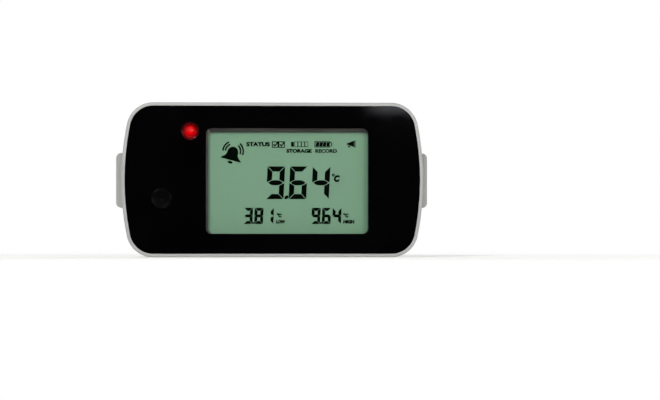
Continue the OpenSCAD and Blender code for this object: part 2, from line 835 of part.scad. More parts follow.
// Coil of one unbroken wire along x, wide where it stands on its plate
module coil_spring() {
  steps = spring_turns * ring_steps;
  last = steps * tube_sides;
  polyhedron(
    points = [for (i = [0 : steps]) each ring_at(i, steps)],
    faces = [
      for (i = [0 : steps - 1], k = [0 : tube_sides - 1])
        let (a = i * tube_sides + k, b = i * tube_sides + (k + 1) % tube_sides) [a, a + tube_sides, b],
      for (i = [0 : steps - 1], k = [0 : tube_sides - 1])
        let (a = i * tube_sides + k, b = i * tube_sides + (k + 1) % tube_sides) [b, a + tube_sides, b + tube_sides],
      for (k = [1 : tube_sides - 2]) [0, k, k + 1],
      for (k = [1 : tube_sides - 2]) [last, last + k + 1, last + k]
    ]
  );
}

module battery_springs() {
  for (turn = [0, 180]) {
    color("goldenrod") stand() rotate([0, 0, turn])
      translate([-bay_l / 2 + contact_t, cell_y, cell_z]) coil_spring();
  }
}

// Contact plate at the left end with a tail up to the board
module contact_plate() {
  box(-bay_l / 2, -bay_l / 2 + contact_t, cell_y - contact_w / 2, cell_y + contact_w / 2,
    contact_z, contact_z + contact_h);
  box(-bay_l / 2, -bay_l / 2 + contact_t, cell_y - tail_w / 2, cell_y + tail_w / 2,
    contact_z + contact_h - lap, board_z);
}

module contact_dimple() {
  translate([-bay_l / 2 + contact_t - lap, cell_y, cell_z]) rotate([0, 90, 0])
    cylinder(r = dimple_d / 2, h = dimple_h + lap, $fn = fn_small);
}

module contact_negative() {
  color("goldenrod") stand() contact_plate();
}

module contact_positive() {
  color("goldenrod") stand() mirror([0, 1, 0]) {
    contact_plate();
    contact_dimple();
  }
}

module contact_link() {
  color("goldenrod") stand() mirror([1, 0, 0]) {
    for (m = [0, 1]) mirror([0, m, 0]) contact_plate();
    box(-bay_l / 2, -bay_l / 2 + contact_t, -cell_y, cell_y, cell_z, cell_z + contact_w / 2);
    contact_dimple();
  }
}

module start_button() {
  r = button_d / 2;
  top = body_t;
  low = display_top - flange_gap;
  dish_r = (pow(r - button_edge, 2) + pow(button_dish, 2)) / (2 * button_dish);
  color([0.04, 0.04, 0.04]) stand() on_button() rotate_extrude($fn = fn_large) difference() {
    union() {
      translate([0, low - lap]) square([r, top - low + lap - button_edge]);
      translate([0, top - 2 * button_edge]) square([r - button_edge, 2 * button_edge]);
      intersection() {
        translate([r - button_edge, top - button_edge]) circle(button_edge, $fn = fn_small);
        translate([r - button_edge, top - button_edge]) square(button_edge);
      }
      translate([0, low - flange_h]) square([r + flange_w, flange_h]);
      translate([0, plunger_up + stem_gap]) square([stem_d / 2, low - plunger_up]);
    }
    translate([0, top - button_dish + dish_r]) circle(dish_r, $fn = fn_bow);
  }
}

module start_switch() {
  color([0.15, 0.15, 0.15]) stand() on_button() {
    difference() {
      box(-switch_w / 2, switch_w / 2, -switch_w / 2, switch_w / 2, board_top, board_top + switch_h);
      rod(0, 0, board_top + switch_h - plunger_in - button_travel - plunger_gap, board_top + switch_h + over,
        plunger_d / 2 + plunger_gap);
    }
    for (sx = [-1, 1], sy = [-1, 1])
      box(sx * (switch_w + leg_l) / 2 - leg_l / 2 - leg_t, sx * (switch_w + leg_l) / 2 + leg_l / 2,
        sy * switch_w / 4 - leg_w / 2, sy * switch_w / 4 + leg_w / 2, board_top, board_top + leg_t);
  }
}

module switch_plunger() {
  color("whitesmoke") stand() on_button()
    rod(0, 0, board_top + switch_h - plunger_in, plunger_up, plunger_d / 2);
}

module alarm_led() {
  r = lamp_d / 2;
  low = board_top + lamp_stand;
  color("red") stand() on_lamp() rotate_extrude($fn = fn_large) {
    translate([0, low]) square([r + lamp_rim_w, lamp_rim_h]);
    translate([0, low]) square([r, body_t - lamp_drop - r - low]);
    intersection() {
      translate([0, body_t - lamp_drop - r]) circle(r, $fn = fn_large);
      translate([0, low]) square([r, body_t]);
    }
  }
}

module led_leads() {
  color("silver") stand() on_lamp() for (s = [-1, 1])
    box(s * lead_pitch - lead_d / 2, s * lead_pitch + lead_d / 2, -lead_d / 2, lead_d / 2,
      board_z - lead_out, board_top + lamp_stand);
}

module sounder() {
  color("black") stand() on_board(sounder_shares) difference() {
    union() {
      rod(0, 0, board_z - sounder_h + sounder_ring, board_z, sounder_d / 2);
      rod(0, 0, board_z - sounder_h, board_z, sounder_d / 2 - sounder_ring);
    }
    rod(0, 0, board_z - sounder_h - over, board_z - sounder_h / 2, sound_hole_d / 2);
  }
}

// Thermistor in a small resin drop on two short wires at the board's edge
module temperature_sensor() {
  drop_z = board_top + sensor_d / 2;
  color("saddlebrown") stand() on_board(sensor_shares) {
    rod(0, 0, drop_z, drop_z + sensor_d, sensor_d / 2);
    for (s = [-1, 1])
      box(s * sensor_d / 4 - sensor_wire / 2, s * sensor_d / 4 + sensor_wire / 2,
        -sensor_wire / 2, sensor_wire / 2, board_top, drop_z + lap);
  }
}

module microcontroller() {
  color([0.12, 0.12, 0.12]) stand() under_board(mcu_shares, mcu);
}

module radio_module() {
  color("darkblue") stand() under_board(radio_shares, radio_board);
}

module radio_shield() {
  color("lightgray") stand() on_board(radio_shares)
    translate([0, 0, board_z - radio_board[2] - shield_h])
    linear_extrude(shield_h)
    square([radio_board[0] - 4 * shield_in, radio_board[1] - 2 * shield_in], center = true);
}

module chip_antenna() {
  color("white") stand() under_board(antenna_shares, antenna);
}

module memory_chip() {
  color([0.12, 0.12, 0.12]) stand() {
    under_board(memory_shares, memory);
    on_board(memory_shares) for (s = [-1, 1], i = [0 : memory_legs - 1])
      box((i - (memory_legs - 1) / 2) * leg_pitch - leg_w / 3, (i - (memory_legs - 1) / 2) * leg_pitch + leg_w / 3,
        s * (memory[1] / 2 + leg_l / 2) - leg_l / 2 - leg_t, s * (memory[1] / 2 + leg_l / 2) + leg_l / 2 + leg_t,
        board_z - leg_t, board_z);
  }
}

module crystal() {
  color("silver") stand() under_board(crystal_shares, crystal_can);
}

module supply_regulator() {
  color([0.12, 0.12, 0.12]) stand() under_board(regulator_shares, regulator);
}

module chip_passives() {
  color("tan") stand() for (place = chip_shares) under_board(place, chip);
}

echo(least_spring_gap = min([
  for (i = [0 : spring_turns * ring_steps], j = [0 : spring_turns * ring_steps])
    if (j - i >= ring_steps * 3 / 4)
      norm(spring_centre(i, spring_turns * ring_steps) - spring_centre(j, spring_turns * ring_steps)) - wire_d
]));

front_housing();
rear_housing();
face_plate();
face_adhesive();
display_window();
display_gasket();
lcd_front_polariser();
lcd_front_glass();
lcd_rear_glass();
lcd_reflector();
lcd_frame();
zebra_strips();
main_board();
board_screws();
housing_screws();
housing_seal();
magnets();
battery_door();
battery_1();
battery_2();
battery_springs();
contact_negative();
contact_positive();
contact_link();
start_button();
start_switch();
switch_plunger();
alarm_led();
led_leads();
sounder();
temperature_sensor();
microcontroller();
radio_module();
radio_shield();
chip_antenna();
memory_chip();
crystal();
supply_regulator();
chip_passives();
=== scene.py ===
# %% [markdown]
# # A temperature data logger
# The logger is a pocket-sized box: two light grey shells, a glossy black face, a display behind a
# clear window, a red lamp and a small button. This lesson dresses the pieces of its construction
# model with the finishes that the real ones have, and adds what is printed or shown on them.
# The first cell loads the construction model. Its pieces keep their place and shape from here on.

# %% Load the construction model
import math

import bmesh
import bpy
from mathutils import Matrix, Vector


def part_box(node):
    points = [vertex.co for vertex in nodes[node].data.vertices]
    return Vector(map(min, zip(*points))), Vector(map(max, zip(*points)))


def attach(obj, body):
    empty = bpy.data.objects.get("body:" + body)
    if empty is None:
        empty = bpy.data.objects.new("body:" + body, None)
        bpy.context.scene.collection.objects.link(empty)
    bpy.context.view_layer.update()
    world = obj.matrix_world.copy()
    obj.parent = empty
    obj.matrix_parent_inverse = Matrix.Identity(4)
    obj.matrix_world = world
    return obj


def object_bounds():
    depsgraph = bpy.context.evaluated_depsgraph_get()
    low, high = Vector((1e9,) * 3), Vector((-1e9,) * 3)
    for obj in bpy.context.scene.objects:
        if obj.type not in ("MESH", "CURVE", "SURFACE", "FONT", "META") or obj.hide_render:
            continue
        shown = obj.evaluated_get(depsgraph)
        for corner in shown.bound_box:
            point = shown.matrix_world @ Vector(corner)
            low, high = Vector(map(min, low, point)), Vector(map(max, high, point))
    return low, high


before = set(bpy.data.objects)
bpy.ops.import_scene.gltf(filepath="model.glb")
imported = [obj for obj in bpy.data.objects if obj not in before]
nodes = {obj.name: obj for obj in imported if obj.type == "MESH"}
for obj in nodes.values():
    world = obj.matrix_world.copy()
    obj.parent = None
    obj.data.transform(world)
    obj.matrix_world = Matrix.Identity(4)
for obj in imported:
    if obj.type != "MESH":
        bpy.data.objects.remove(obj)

MM = 0.001
cad_low, cad_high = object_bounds()
print(len(nodes), "pieces,", [round(side / MM, 1) for side in cad_high - cad_low], "mm")

# %% [markdown]
# Colours are easiest to pick from a swatch, as sRGB hex values, but a shader works with linear
# light. Blender's own colour picker converts one to the other, and a script needs a function for
# it. A second function adds a node to a material: its fields come first, and then its sockets.

# %% Colours and nodes
def linear(swatch):
    shares = [int(swatch[i:i + 2], 16) / 255 for i in (1, 3, 5)]
    return [s / 12.92 if s <= 0.04045 else ((s + 0.055) / 1.055) ** 2.4 for s in shares] + [1]


def add(tree, kind, fields=None, sockets=None):
    """Add a node. A socket takes a number, a colour, another socket, or a node's first output."""
    node = tree.nodes.new("ShaderNode" + kind)
    for name, value in (fields or {}).items():
        setattr(node, name, value)
    for name, value in (sockets or {}).items():
        if isinstance(value, bpy.types.Node):
            value = value.outputs[0]
        if isinstance(value, bpy.types.NodeSocket):
            tree.links.new(value, node.inputs[name])
        else:
            node.inputs[name].default_value = value
    return node


print("mid grey", [round(c, 3) for c in linear("#808080")])

# %% [markdown]
# A camera and a lamp are placed alike: they stand in some direction from the logger, and look back
# at it. Three angles could turn them, but it is easier to name the point they look at, and to let
# Blender turn their axis towards it.

# %% Placing and turning
def put_in_scene(name, data):
    thing = bpy.data.objects.new(name, data)
    bpy.context.scene.collection.objects.link(thing)
    return thing


def turn_towards(thing, target):
    """Turn a camera or a lamp, which looks along its own -Z axis, towards a point."""
    thing.rotation_euler = (target - thing.location).to_track_quat("-Z", "Y").to_euler()


def in_front(right, up):
    """Direction away from the logger, in degrees to the right of straight in front and upwards."""
    right, up = math.radians(right), math.radians(up)
    return Vector((
        math.sin(right) * math.cos(up), -math.cos(right) * math.cos(up), math.sin(up)))


centre = (cad_low + cad_high) / 2
print("middle of the logger at", [round(c / MM, 1) for c in centre], "mm")

# %% [markdown]
# The logger stands on its long side. The camera looks at it almost square on, from half a metre,
# a little from the left and from just above the table. It aims at a point to the right of the
# logger and below its middle, so that the logger sits in the upper left of the picture. The focal
# length could be found by trial, but it follows from how many pixels a millimetre of the face
# takes, and stays right when the distance changes.

# %% Camera
image_width = 660
pixels_per_mm = 4.212
camera_distance = 0.55
camera_right, camera_up = -1.25, -1.5
aim = centre + Vector((14.13 * MM, 0, -4.6 * MM))

lens = bpy.data.cameras.new("camera")
camera = put_in_scene("camera", lens)
bpy.context.scene.camera = camera
camera.location = centre + in_front(camera_right, camera_up) * camera_distance
turn_towards(camera, aim)
face_distance = cad_low.y - camera.location.y
lens.sensor_width = 36
lens.lens = lens.sensor_width * pixels_per_mm * face_distance / MM / image_width
lens.clip_start = 0.01
lens.clip_end = 20
print("lens", round(lens.lens, 1), "mm, camera", [round(c / MM, 1) for c in camera.location])

# %% [markdown]
# The background of a studio picture is plain white. Strong light on a white wall would give that,
# but would also bleach the logger. The Light Path node tells the rays apart instead: the world is
# white to what the camera and the reflections see, and a soft grey to the light that reaches the
# surfaces.

# %% Surround
WHITE = [1, 1, 1, 1]


def seen_directly(tree):
    """One for the rays of camera, reflections and clear pieces, nought for light on a surface."""
    path = add(tree, "LightPath")
    seen = path.outputs["Is Camera Ray"]
    for kind in ("Is Glossy Ray", "Is Transmission Ray"):
        seen = add(tree, "Math", {"operation": "MAXIMUM"}, {0: seen, 1: path.outputs[kind]})
    return seen


soft_light = 0.22
world = bpy.data.worlds.new("studio surround")
bpy.context.scene.world = world
world.use_nodes = True
tree = world.node_tree
tree.nodes.clear()
level = add(tree, "MapRange", sockets={
    "Value": seen_directly(tree), "To Min": soft_light, "To Max": 1})
surround = add(tree, "Background", sockets={"Color": WHITE, "Strength": level})
add(tree, "OutputWorld", sockets={"Surface": surround})
print("surround lights the surfaces at", soft_light)

# %% [markdown]
# The table and the cloths of the studio are flat sheets. Each could be Blender's own plane, moved
# and scaled, but four corners say at once where it lies. Its material starts blank, so that each
# node in it has its own line. Soft changes use the smooth step, which has no visible start or end.

# %% Sheets and blank materials
SMOOTH = {"interpolation_type": "SMOOTHSTEP"}


def blank_material(name):
    material = bpy.data.materials.new(name)
    material.use_nodes = True
    material.node_tree.nodes.clear()
    return material, material.node_tree


def flat_sheet(name, corners, material):
    """A new object with one face, from its four corners."""
    mesh = bpy.data.meshes.new(name)
    mesh.from_pydata(corners, [], [(0, 1, 2, 3)])
    mesh.materials.append(material)
    return put_in_scene(name, mesh)


print("soft changes:", SMOOTH)

# %% [markdown]
# The logger stands on a light table, which is a sheet of opal white acrylic. A plain white plane
# would show a grey horizon against the surround. So the table adds a little white of its own, which
# only camera and reflections see, keeps the soft shadow under the logger, and fades to the surround
# further out. A lamp below it shines through, and a camera below it sees through, so that the
# underside can be looked at as well.

# %% Light table
table_half = 3
fade_start, fade_end = 0.05, 0.2
own_white = 0.35

opal, tree = blank_material("acrylic sheet, opal white")
seen = seen_directly(tree)
place = add(tree, "TexCoord").outputs["Object"]
far = add(tree, "VectorMath", {"operation": "LENGTH"}, {0: place}).outputs["Value"]
fade = add(tree, "MapRange", SMOOTH, {"Value": far, "From Min": fade_start, "From Max": fade_end})
milky = add(tree, "BsdfDiffuse", sockets={"Color": linear("#e9e9e7")})
veil_strength = add(tree, "Math", {"operation": "MULTIPLY"}, {0: seen, 1: own_white})
veil = add(tree, "Emission", sockets={"Color": WHITE, "Strength": veil_strength})
near_part = add(tree, "AddShader", sockets={0: milky, 1: veil})
far_part = add(tree, "Emission", sockets={"Color": WHITE, "Strength": 1})
blend = add(tree, "Math", {"operation": "MULTIPLY"}, {0: seen, 1: fade})
from_above = add(tree, "MixShader", sockets={0: blend, 1: near_part, 2: far_part})
from_below = add(tree, "NewGeometry").outputs["Backfacing"]
to_a_lamp = add(tree, "LightPath").outputs["Is Shadow Ray"]
let_through = add(tree, "Math", {"operation": "MAXIMUM"}, {0: from_below, 1: to_a_lamp})
clear = add(tree, "BsdfTransparent")
light_table = add(tree, "MixShader", sockets={0: let_through, 1: from_above, 2: clear})
add(tree, "OutputMaterial", sockets={"Surface": light_table})

table_top = flat_sheet("table_top", [
    (-table_half, -table_half, cad_low.z), (table_half, -table_half, cad_low.z),
    (table_half, table_half, cad_low.z), (-table_half, table_half, cad_low.z)], opal)
print("table at z =", cad_low.z, "with", len(tree.nodes), "nodes")

# %% [markdown]
# The main lamp stands up and to the left, and is small enough to throw the window's edge as a
# shadow on the display, as the recess of a real display shows. A wider lamp fills in from the
# right, and one on each side of the back keeps the other sides readable. The last one shines up
# through the table and softens the shade on the undersides. Area lamps give such soft shadows.

# %% Lamps
def soft_box(name, direction, distance, size, share):
    """A square lamp that lights a surface facing it with a share of full level."""
    light = bpy.data.lights.new(name, "AREA")
    light.size = size
    light.energy = share * (math.pi * distance) ** 2
    lamp = put_in_scene(name, light)
    lamp.location = centre + Vector(direction).normalized() * distance
    lamp.visible_camera = False
    turn_towards(lamp, centre)


# Each row: name, direction, distance and size in metres, and share of full level
lamps = (
    ("main_lamp", in_front(-22, 30), 0.9, 0.12, 0.52),
    ("fill_lamp", in_front(28, 12), 1.0, 0.3, 0.29),
    ("back_lamp_right", (0.9, 0.8, 0.8), 1.1, 0.7, 0.25),
    ("back_lamp_left", (-0.7, 1, 0.5), 1.1, 0.7, 0.2),
    ("low_lamp", (0.3, -0.4, -1), 1.1, 0.7, 0.18),
)
for lamp in lamps:
    soft_box(*lamp)
print(len(lamps), "lamps")

# %% [markdown]
# A glossy black face shows whatever stands opposite. A photographer hangs black cloth there, and
# so does this cell: one cloth behind the camera and one on the table in front of the logger, seen
# by reflections alone. To the upper right of the camera, a dim patch of light comes through the
# cloth, and gives the face its faint sheen in the corner. The patch is small, so that the curved
# button does not catch it as well.

# %% Black cloth
cloth_y = -1.1
cloth_left, cloth_right, cloth_top = -1.6, 1.6, 1.6
cloth_lift = 0.1 * MM
cloth_end = cad_low.y - 1 * MM
# Where the patch starts and ends, and how wide its soft edge is, all in metres
patch_x = (0.086, 0.16, 0.02)
patch_z = (0.0935, 0.125, 0.005)
patch_light = 1.5

velvet, tree = blank_material("black velvet, woven")
where = add(tree, "SeparateXYZ", sockets={0: add(tree, "TexCoord").outputs["Object"]})
patch = 1
for axis, (low, high, soft) in (("X", patch_x), ("Z", patch_z)):
    for start, end in ((low, low + soft), (high, high - soft)):
        inside = add(tree, "MapRange", SMOOTH, {
            "Value": where.outputs[axis], "From Min": start, "From Max": end})
        patch = add(tree, "Math", {"operation": "MULTIPLY"}, {0: patch, 1: inside})
strength = add(tree, "Math", {"operation": "MULTIPLY"}, {0: patch, 1: patch_light})
sheen = add(tree, "Emission", sockets={"Color": linear("#f4f6ff"), "Strength": strength})
add(tree, "OutputMaterial", sockets={"Surface": sheen})

cloths = {
    "cloth_behind_camera": [
        (cloth_left, cloth_y, 0), (cloth_right, cloth_y, 0),
        (cloth_right, cloth_y, cloth_top), (cloth_left, cloth_y, cloth_top)],
    "cloth_on_table": [
        (cloth_left, cloth_y, cloth_lift), (cloth_right, cloth_y, cloth_lift),
        (cloth_right, cloth_end, cloth_lift), (cloth_left, cloth_end, cloth_lift)],
}
for name, corners in cloths.items():
    sheet = flat_sheet(name, corners, velvet)
    for kind in ("camera", "diffuse", "transmission", "shadow", "volume_scatter"):
        setattr(sheet, "visible_" + kind, False)
print(len(cloths), "cloths from", cloth_left, "to", cloth_right, "m")

# %% [markdown]
# Most pieces are moulded, rolled or plated, and their surface is never quite even: the colour
# drifts a little over centimetres, and the tool's grain shows close up. A photograph of a surface
# could be wrapped round each piece, but noise needs no unwrapping and has no seams. One function
# builds such a finish from a patch size and a grain size in millimetres. It hands back the material
# with its shader, so that a piece can have more.

# %% A grained surface
RGBA = {"data_type": "RGBA"}
# The colour sockets of a Mix node share their names with others, so they are called by number
MIX_A, MIX_B, MIX_OUT = 6, 7, 2


def grained(name, swatches, patch, grain, depth, rough, **sockets):
    """A new material: two colours that drift, a range of roughness and a grain, sizes in mm."""
    material, tree = blank_material(name)
    place = add(tree, "TexCoord").outputs["Object"]
    # Noise has about one bump per unit, so its scale is one over the size. Its values gather round
    # one half, and the middle of their range is stretched to the whole.
    cloud = add(tree, "TexNoise", sockets={
        "Vector": place, "Scale": 1 / (patch * MM), "Detail": 4})
    drift = add(tree, "MapRange", sockets={"Value": cloud, "From Min": 0.35, "From Max": 0.65})
    colour = add(tree, "Mix", RGBA, {
        0: drift, MIX_A: linear(swatches[0]), MIX_B: linear(swatches[1])})
    speck = add(tree, "TexNoise", sockets={
        "Vector": place, "Scale": 1 / (grain * MM), "Detail": 2})
    gloss = add(tree, "MapRange", sockets={
        "Value": speck, "From Min": 0.3, "From Max": 0.7, "To Min": rough[0], "To Max": rough[1]})
    relief = add(tree, "Bump", sockets={"Height": speck, "Distance": depth * MM})
    shader = add(tree, "BsdfPrincipled", sockets={
        "Base Color": colour.outputs[MIX_OUT], "Roughness": gloss, "Normal": relief, **sockets})
    add(tree, "OutputMaterial", sockets={"Surface": shader})
    return material, shader


def dress(material, *names):
    for name in names:
        mesh = nodes[name].data
        mesh.materials.clear()
        mesh.materials.append(material)
    print(material.name, "on", *names)


# %% [markdown]
# The shells and the battery door are moulded from light grey ABS, in a mould whose steel was spark
# eroded: a fine even grain without shine. Handling polishes the edges first, so they are a touch
# paler and smoother. The corners could be bevelled in the mesh, but the construction model keeps
# its shape, so the Bevel node rounds them for the light alone, by a tenth of a millimetre or so.
# Where it bends the surface most, the edge colour comes in. The shells meet in a joint as thin as
# paper, where dust settles: it is painted as a dark line a little wider than the gap, as painted
# shade with the dust in it, so that it shows.

# %% Light grey ABS
def paint_over(shader, share, swatch):
    """Lay one more colour over the shader's own, as a share from nought to one."""
    tree, colour = shader.id_data, shader.inputs["Base Color"]
    over = add(tree, "Mix", RGBA, {
        0: share, MIX_A: colour.links[0].from_socket, MIX_B: linear(swatch)})
    tree.links.new(over.outputs[MIX_OUT], colour)


edge_radius = 0.12 * MM
joint_w = 0.16 * MM
parting_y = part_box("front_housing")[1].y

abs_shell, shader = grained(
    "ABS, moulded in a spark-eroded tool", ("#b3b3b1", "#acacaa"),
    patch=11, grain=0.16, depth=0.004, rough=(0.42, 0.56), IOR=1.54)
tree = abs_shell.node_tree
rounded = add(tree, "Bevel", {"samples": 6}, {"Radius": edge_radius})
flat = add(tree, "NewGeometry").outputs["Normal"]
turn = add(tree, "VectorMath", {"operation": "DOT_PRODUCT"}, {0: rounded, 1: flat})
worn = add(tree, "MapRange", sockets={
    "Value": turn.outputs["Value"], "From Min": 0.995, "From Max": 0.9})
relief = shader.inputs["Normal"].links[0].from_node
tree.links.new(rounded.outputs[0], relief.inputs["Normal"])
paint_over(shader, worn, "#c0c0bd")
where = add(tree, "SeparateXYZ", sockets={0: add(tree, "TexCoord").outputs["Object"]})
# A dark line along the joint: painted shade of the gap, with its dust
joint_shade_and_dust = add(tree, "Math", {"operation": "COMPARE"}, {
    0: where.outputs["Y"], 1: parting_y, 2: joint_w / 2})
paint_over(shader, joint_shade_and_dust, "#6c6c6a")
dress(abs_shell, "front_housing", "rear_housing", "battery_door")
print("shells meet at y =", round(parting_y / MM, 2), "mm")

# %% [markdown]
# The red lamp is needed twice: for its own glow, and for its light on the bevelled edge of its
# hole, which is painted on the face as a glow of its own. Both fall off with the distance from the
# lamp's axis, which runs from front to back through its middle. This function measures that
# distance from the place of each point, so the glow needs no lamp of its own in the scene.

# %% Distance from the lamp's axis
def axis_distance(tree, node):
    """Distance in mm from the front-to-back axis through the middle of a piece."""
    low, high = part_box(node)
    place = add(tree, "TexCoord").outputs["Object"]
    offset = add(tree, "VectorMath", {"operation": "SUBTRACT"}, {0: place, 1: (low + high) / 2})
    level = add(tree, "VectorMath", {"operation": "MULTIPLY"}, {0: offset, 1: (1 / MM, 0, 1 / MM)})
    return add(tree, "VectorMath", {"operation": "LENGTH"}, {0: level}).outputs["Value"]


lamp_low, lamp_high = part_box("alarm_led")
lamp_r = (lamp_high.x - lamp_low.x) / 2 / MM
print("lamp radius", round(lamp_r, 2), "mm")

# %% [markdown]
# The face is a plate of cast acrylic, printed black on its back and polished: almost no colour of
# its own, and a mirror-like gloss that use has dulled here and there. The dull places are the grain
# of this finish, a few millimetres wide and without relief. Its hole for the lamp is bevelled, and
# the lamp's red light on that bevel is painted in as a glow of the face, fading away from the axis.

# %% Black acrylic face
acrylic, shader = grained(
    "acrylic, back-printed black and polished", ("#020203", "#040405"),
    patch=16, grain=3.5, depth=0, rough=(0.02, 0.045), IOR=1.49)
tree = acrylic.node_tree
# Painted light: the face itself glows red round the lamp, fading away from the lamp's axis
painted_lamp_glow = add(tree, "MapRange", SMOOTH, {
    "Value": axis_distance(tree, "alarm_led"),
    "From Min": lamp_r - 0.4, "From Max": lamp_r + 0.65, "To Min": 0.14, "To Max": 0})
tree.links.new(painted_lamp_glow.outputs[0], shader.inputs["Emission Strength"])
shader.inputs["Emission Color"].default_value = linear("#ff1010")
dress(acrylic, "face_plate")

# %% [markdown]
# The window is a clear acrylic pane with a hard coat. A glass shader would bend the light and
# darken the display behind it, because lamps shine through such a shader only by chance. Here light
# passes straight through, and a thin gloss lies on top, as strong as acrylic reflects. Faint smears
# make the gloss uneven.

# %% Clear window
acrylic_ior = 1.49
smear_size = 6 * MM

pane, tree = blank_material("acrylic, clear with a hard coat")
place = add(tree, "TexCoord").outputs["Object"]
smear = add(tree, "TexNoise", sockets={
    "Vector": place, "Scale": 1 / smear_size, "Detail": 5, "Distortion": 1.5})
smooth = add(tree, "MapRange", sockets={
    "Value": smear, "From Min": 0.3, "From Max": 0.8, "To Min": 0.02, "To Max": 0.09})
clear = add(tree, "BsdfTransparent", sockets={"Color": linear("#fafcfa")})
shine = add(tree, "BsdfGlossy", sockets={"Color": WHITE, "Roughness": smooth})
# Light leaves the pane at the angle it came in, so the far face uses the ratio, not its inverse
behind = add(tree, "NewGeometry").outputs["Backfacing"]
ratio = add(tree, "MapRange", sockets={
    "Value": behind, "To Min": acrylic_ior, "To Max": 1 / acrylic_ior})
mirror = add(tree, "Fresnel", sockets={"IOR": ratio})
glazed = add(tree, "MixShader", sockets={0: mirror, 1: clear, 2: shine})
add(tree, "OutputMaterial", sockets={"Surface": glazed})
dress(pane, "display_window")

# %% [markdown]
# Between the pane and the display lies a frame of grey foam, die cut from sheet. Its open cells
# leave no shine at all, so it is rough all over, with a deep fine grain.

# %% Foam frame
foam, _ = grained(
    "polyurethane foam, die cut", ("#666161", "#5c5757"),
    patch=4, grain=0.25, depth=0.05, rough=(0.85, 0.95), IOR=1.45)
dress(foam, "display_gasket")

# %% [markdown]
# The display is a reflective one. Its front film looks green-grey and dull, with the fine texture
# of a matt layer. Just below the foam along its upper edge, the shadow of the window's edge is
# painted into the film's colour by height, as a dark band that deepens the one the main lamp casts.
# It could be one more thin piece, but it lies under the film, so it is painted into the film's
# colour by height.

# %% Display film
shadow_below_window_top = 0.92 * MM
shadow_soft_low, shadow_soft_high = 0.18 * MM, 0.12 * MM

film, shader = grained(
    "polariser film, laminated matt", ("#88aa94", "#87ab90"),
    patch=13, grain=0.12, depth=0.001, rough=(0.2, 0.3), IOR=1.49)
tree = film.node_tree
window_low, window_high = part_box("display_window")
shadow_edge = window_high.z - shadow_below_window_top
where = add(tree, "SeparateXYZ", sockets={0: add(tree, "TexCoord").outputs["Object"]})
# Painted shadow: a dark band across the top of the film, below the window's upper edge
painted_shadow = add(tree, "MapRange", SMOOTH, {
    "Value": where.outputs["Z"],
    "From Min": shadow_edge - shadow_soft_low, "From Max": shadow_edge + shadow_soft_high})
paint_over(shader, painted_shadow, "#626762")
dress(film, "lcd_front_polariser")
display_low, display_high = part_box("lcd_front_polariser")
print("display", [round(side / MM, 2) for side in display_high - display_low], "mm")

# %% [markdown]
# The figures of the display are drawn flat, in millimetres from the middle of the window: across
# to the right and up. They could be painted with nodes, but a mesh is easier to draw and to check.
# A figure is a list of outlines. Each becomes a very thin plate just in front of the film, which is
# where the eye sees the dark segments.

# %% Thin plates
window = (window_low + window_high) / 2
film_front = display_low.y / MM
ink_t = 0.02


def thin_plates(name, outlines, front, thickness, material, body, origin=window):
    """A mesh of thin plates, one for each flat outline, that faces the front."""
    solid = bmesh.new()
    for outline in outlines:
        rows = [
            [solid.verts.new((origin.x + x * MM, y * MM, origin.z + z * MM)) for x, z in outline]
            for y in (front, front + thickness)
        ]
        count = len(outline)
        solid.faces.new(rows[0])
        solid.faces.new(rows[1][::-1])
        for i in range(count):
            j = (i + 1) % count
            solid.faces.new((rows[0][j], rows[0][i], rows[1][i], rows[1][j]))
    bmesh.ops.recalc_face_normals(solid, faces=solid.faces)
    mesh = bpy.data.meshes.new(name)
    solid.to_mesh(mesh)
    solid.free()
    mesh.materials.append(material)
    piece = put_in_scene(name, mesh)
    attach(piece, body)
    print(name, "from", len(outlines), "outlines, rides on", body)


print("film front at y =", round(film_front, 2), "mm")

# %% [markdown]
# A number is made of seven bars with mitred ends, which lean a little to the right. The middle bar
# is a lens, shorter than the others. Which bars are on for a digit is the usual code of seven
# letters, clockwise from the top, with g in the middle. So four outlines make every digit: the
# others are their mirror images.

# %% Seven-segment digits
LIT = {"1": "bc", "3": "abcdg", "4": "bcfg", "6": "acdefg", "8": "abcdefg", "9": "abcdfg"}
lens_steps = 6


def digit(figure, x, z, width, height, stroke, gap, lens_in, lean):
    """The lit bars of one digit, whose middle is at x, z."""
    w, h, t, g = width / 2, height / 2, stroke, gap
    top = [(-w + g, h), (w - g, h), (w - t - g, h - t), (-w + t + g, h - t)]
    side = [(w, h - g), (w, g), (w - t, t / 2 + g), (w - t, h - t - g)]
    along = [i / lens_steps for i in range(-lens_steps, lens_steps)]
    upper_lens = [(a * (w - lens_in), t / 2 * (1 - abs(a) ** 3)) for a in along]
    bars = {
        "a": top, "d": [(a, -b) for a, b in top],
        "g": upper_lens + [(-a, -b) for a, b in upper_lens],
        "b": side, "c": [(a, -b) for a, b in side],
        "f": [(-a, b) for a, b in side], "e": [(-a, -b) for a, b in side],
    }
    return [[(x + a + lean * b, z + b) for a, b in bars[name]] for name in LIT[figure]]


print("bars lit:", {figure: len(bars) for figure, bars in LIT.items()})

# %% [markdown]
# The display shows one large number and two small ones, each with its decimal point: a little leaf
# in the large one, and plain dots in the small. Each digit could have a place of its own, but they
# stand at an even pitch, so the first place and the pitch give them all.

# %% Numbers on the display
def arc(x, z, r, count=20, start=0, end=360):
    """Points of a circle, or of the part of it between two angles in degrees."""
    steps = count if end - start == 360 else count + 1
    turns = [math.radians(start + (end - start) * i / count) for i in range(steps)]
    return [(x + r * math.cos(t), z + r * math.sin(t)) for t in turns]


big = {"width": 4.2, "height": 7.8, "stroke": 1.22, "gap": 0.09, "lens_in": 0.35, "lean": 0.05}
big_first, big_pitch, big_z = -2.73, 5.4, -0.36
big_point = [
    (-0.6, -4.26), (0.02, -4.26), (0.36, -3.85), (0.28, -3.38), (-0.12, -3.38), (-0.62, -3.7)]
small = {"width": 2.1, "height": 3.85, "stroke": 0.72, "gap": 0.05, "lens_in": 0.12, "lean": 0.04}
small_pitch, small_z = 2.49, -8.26
point_z, point_r, point_shift = -9.95, 0.24, -0.05

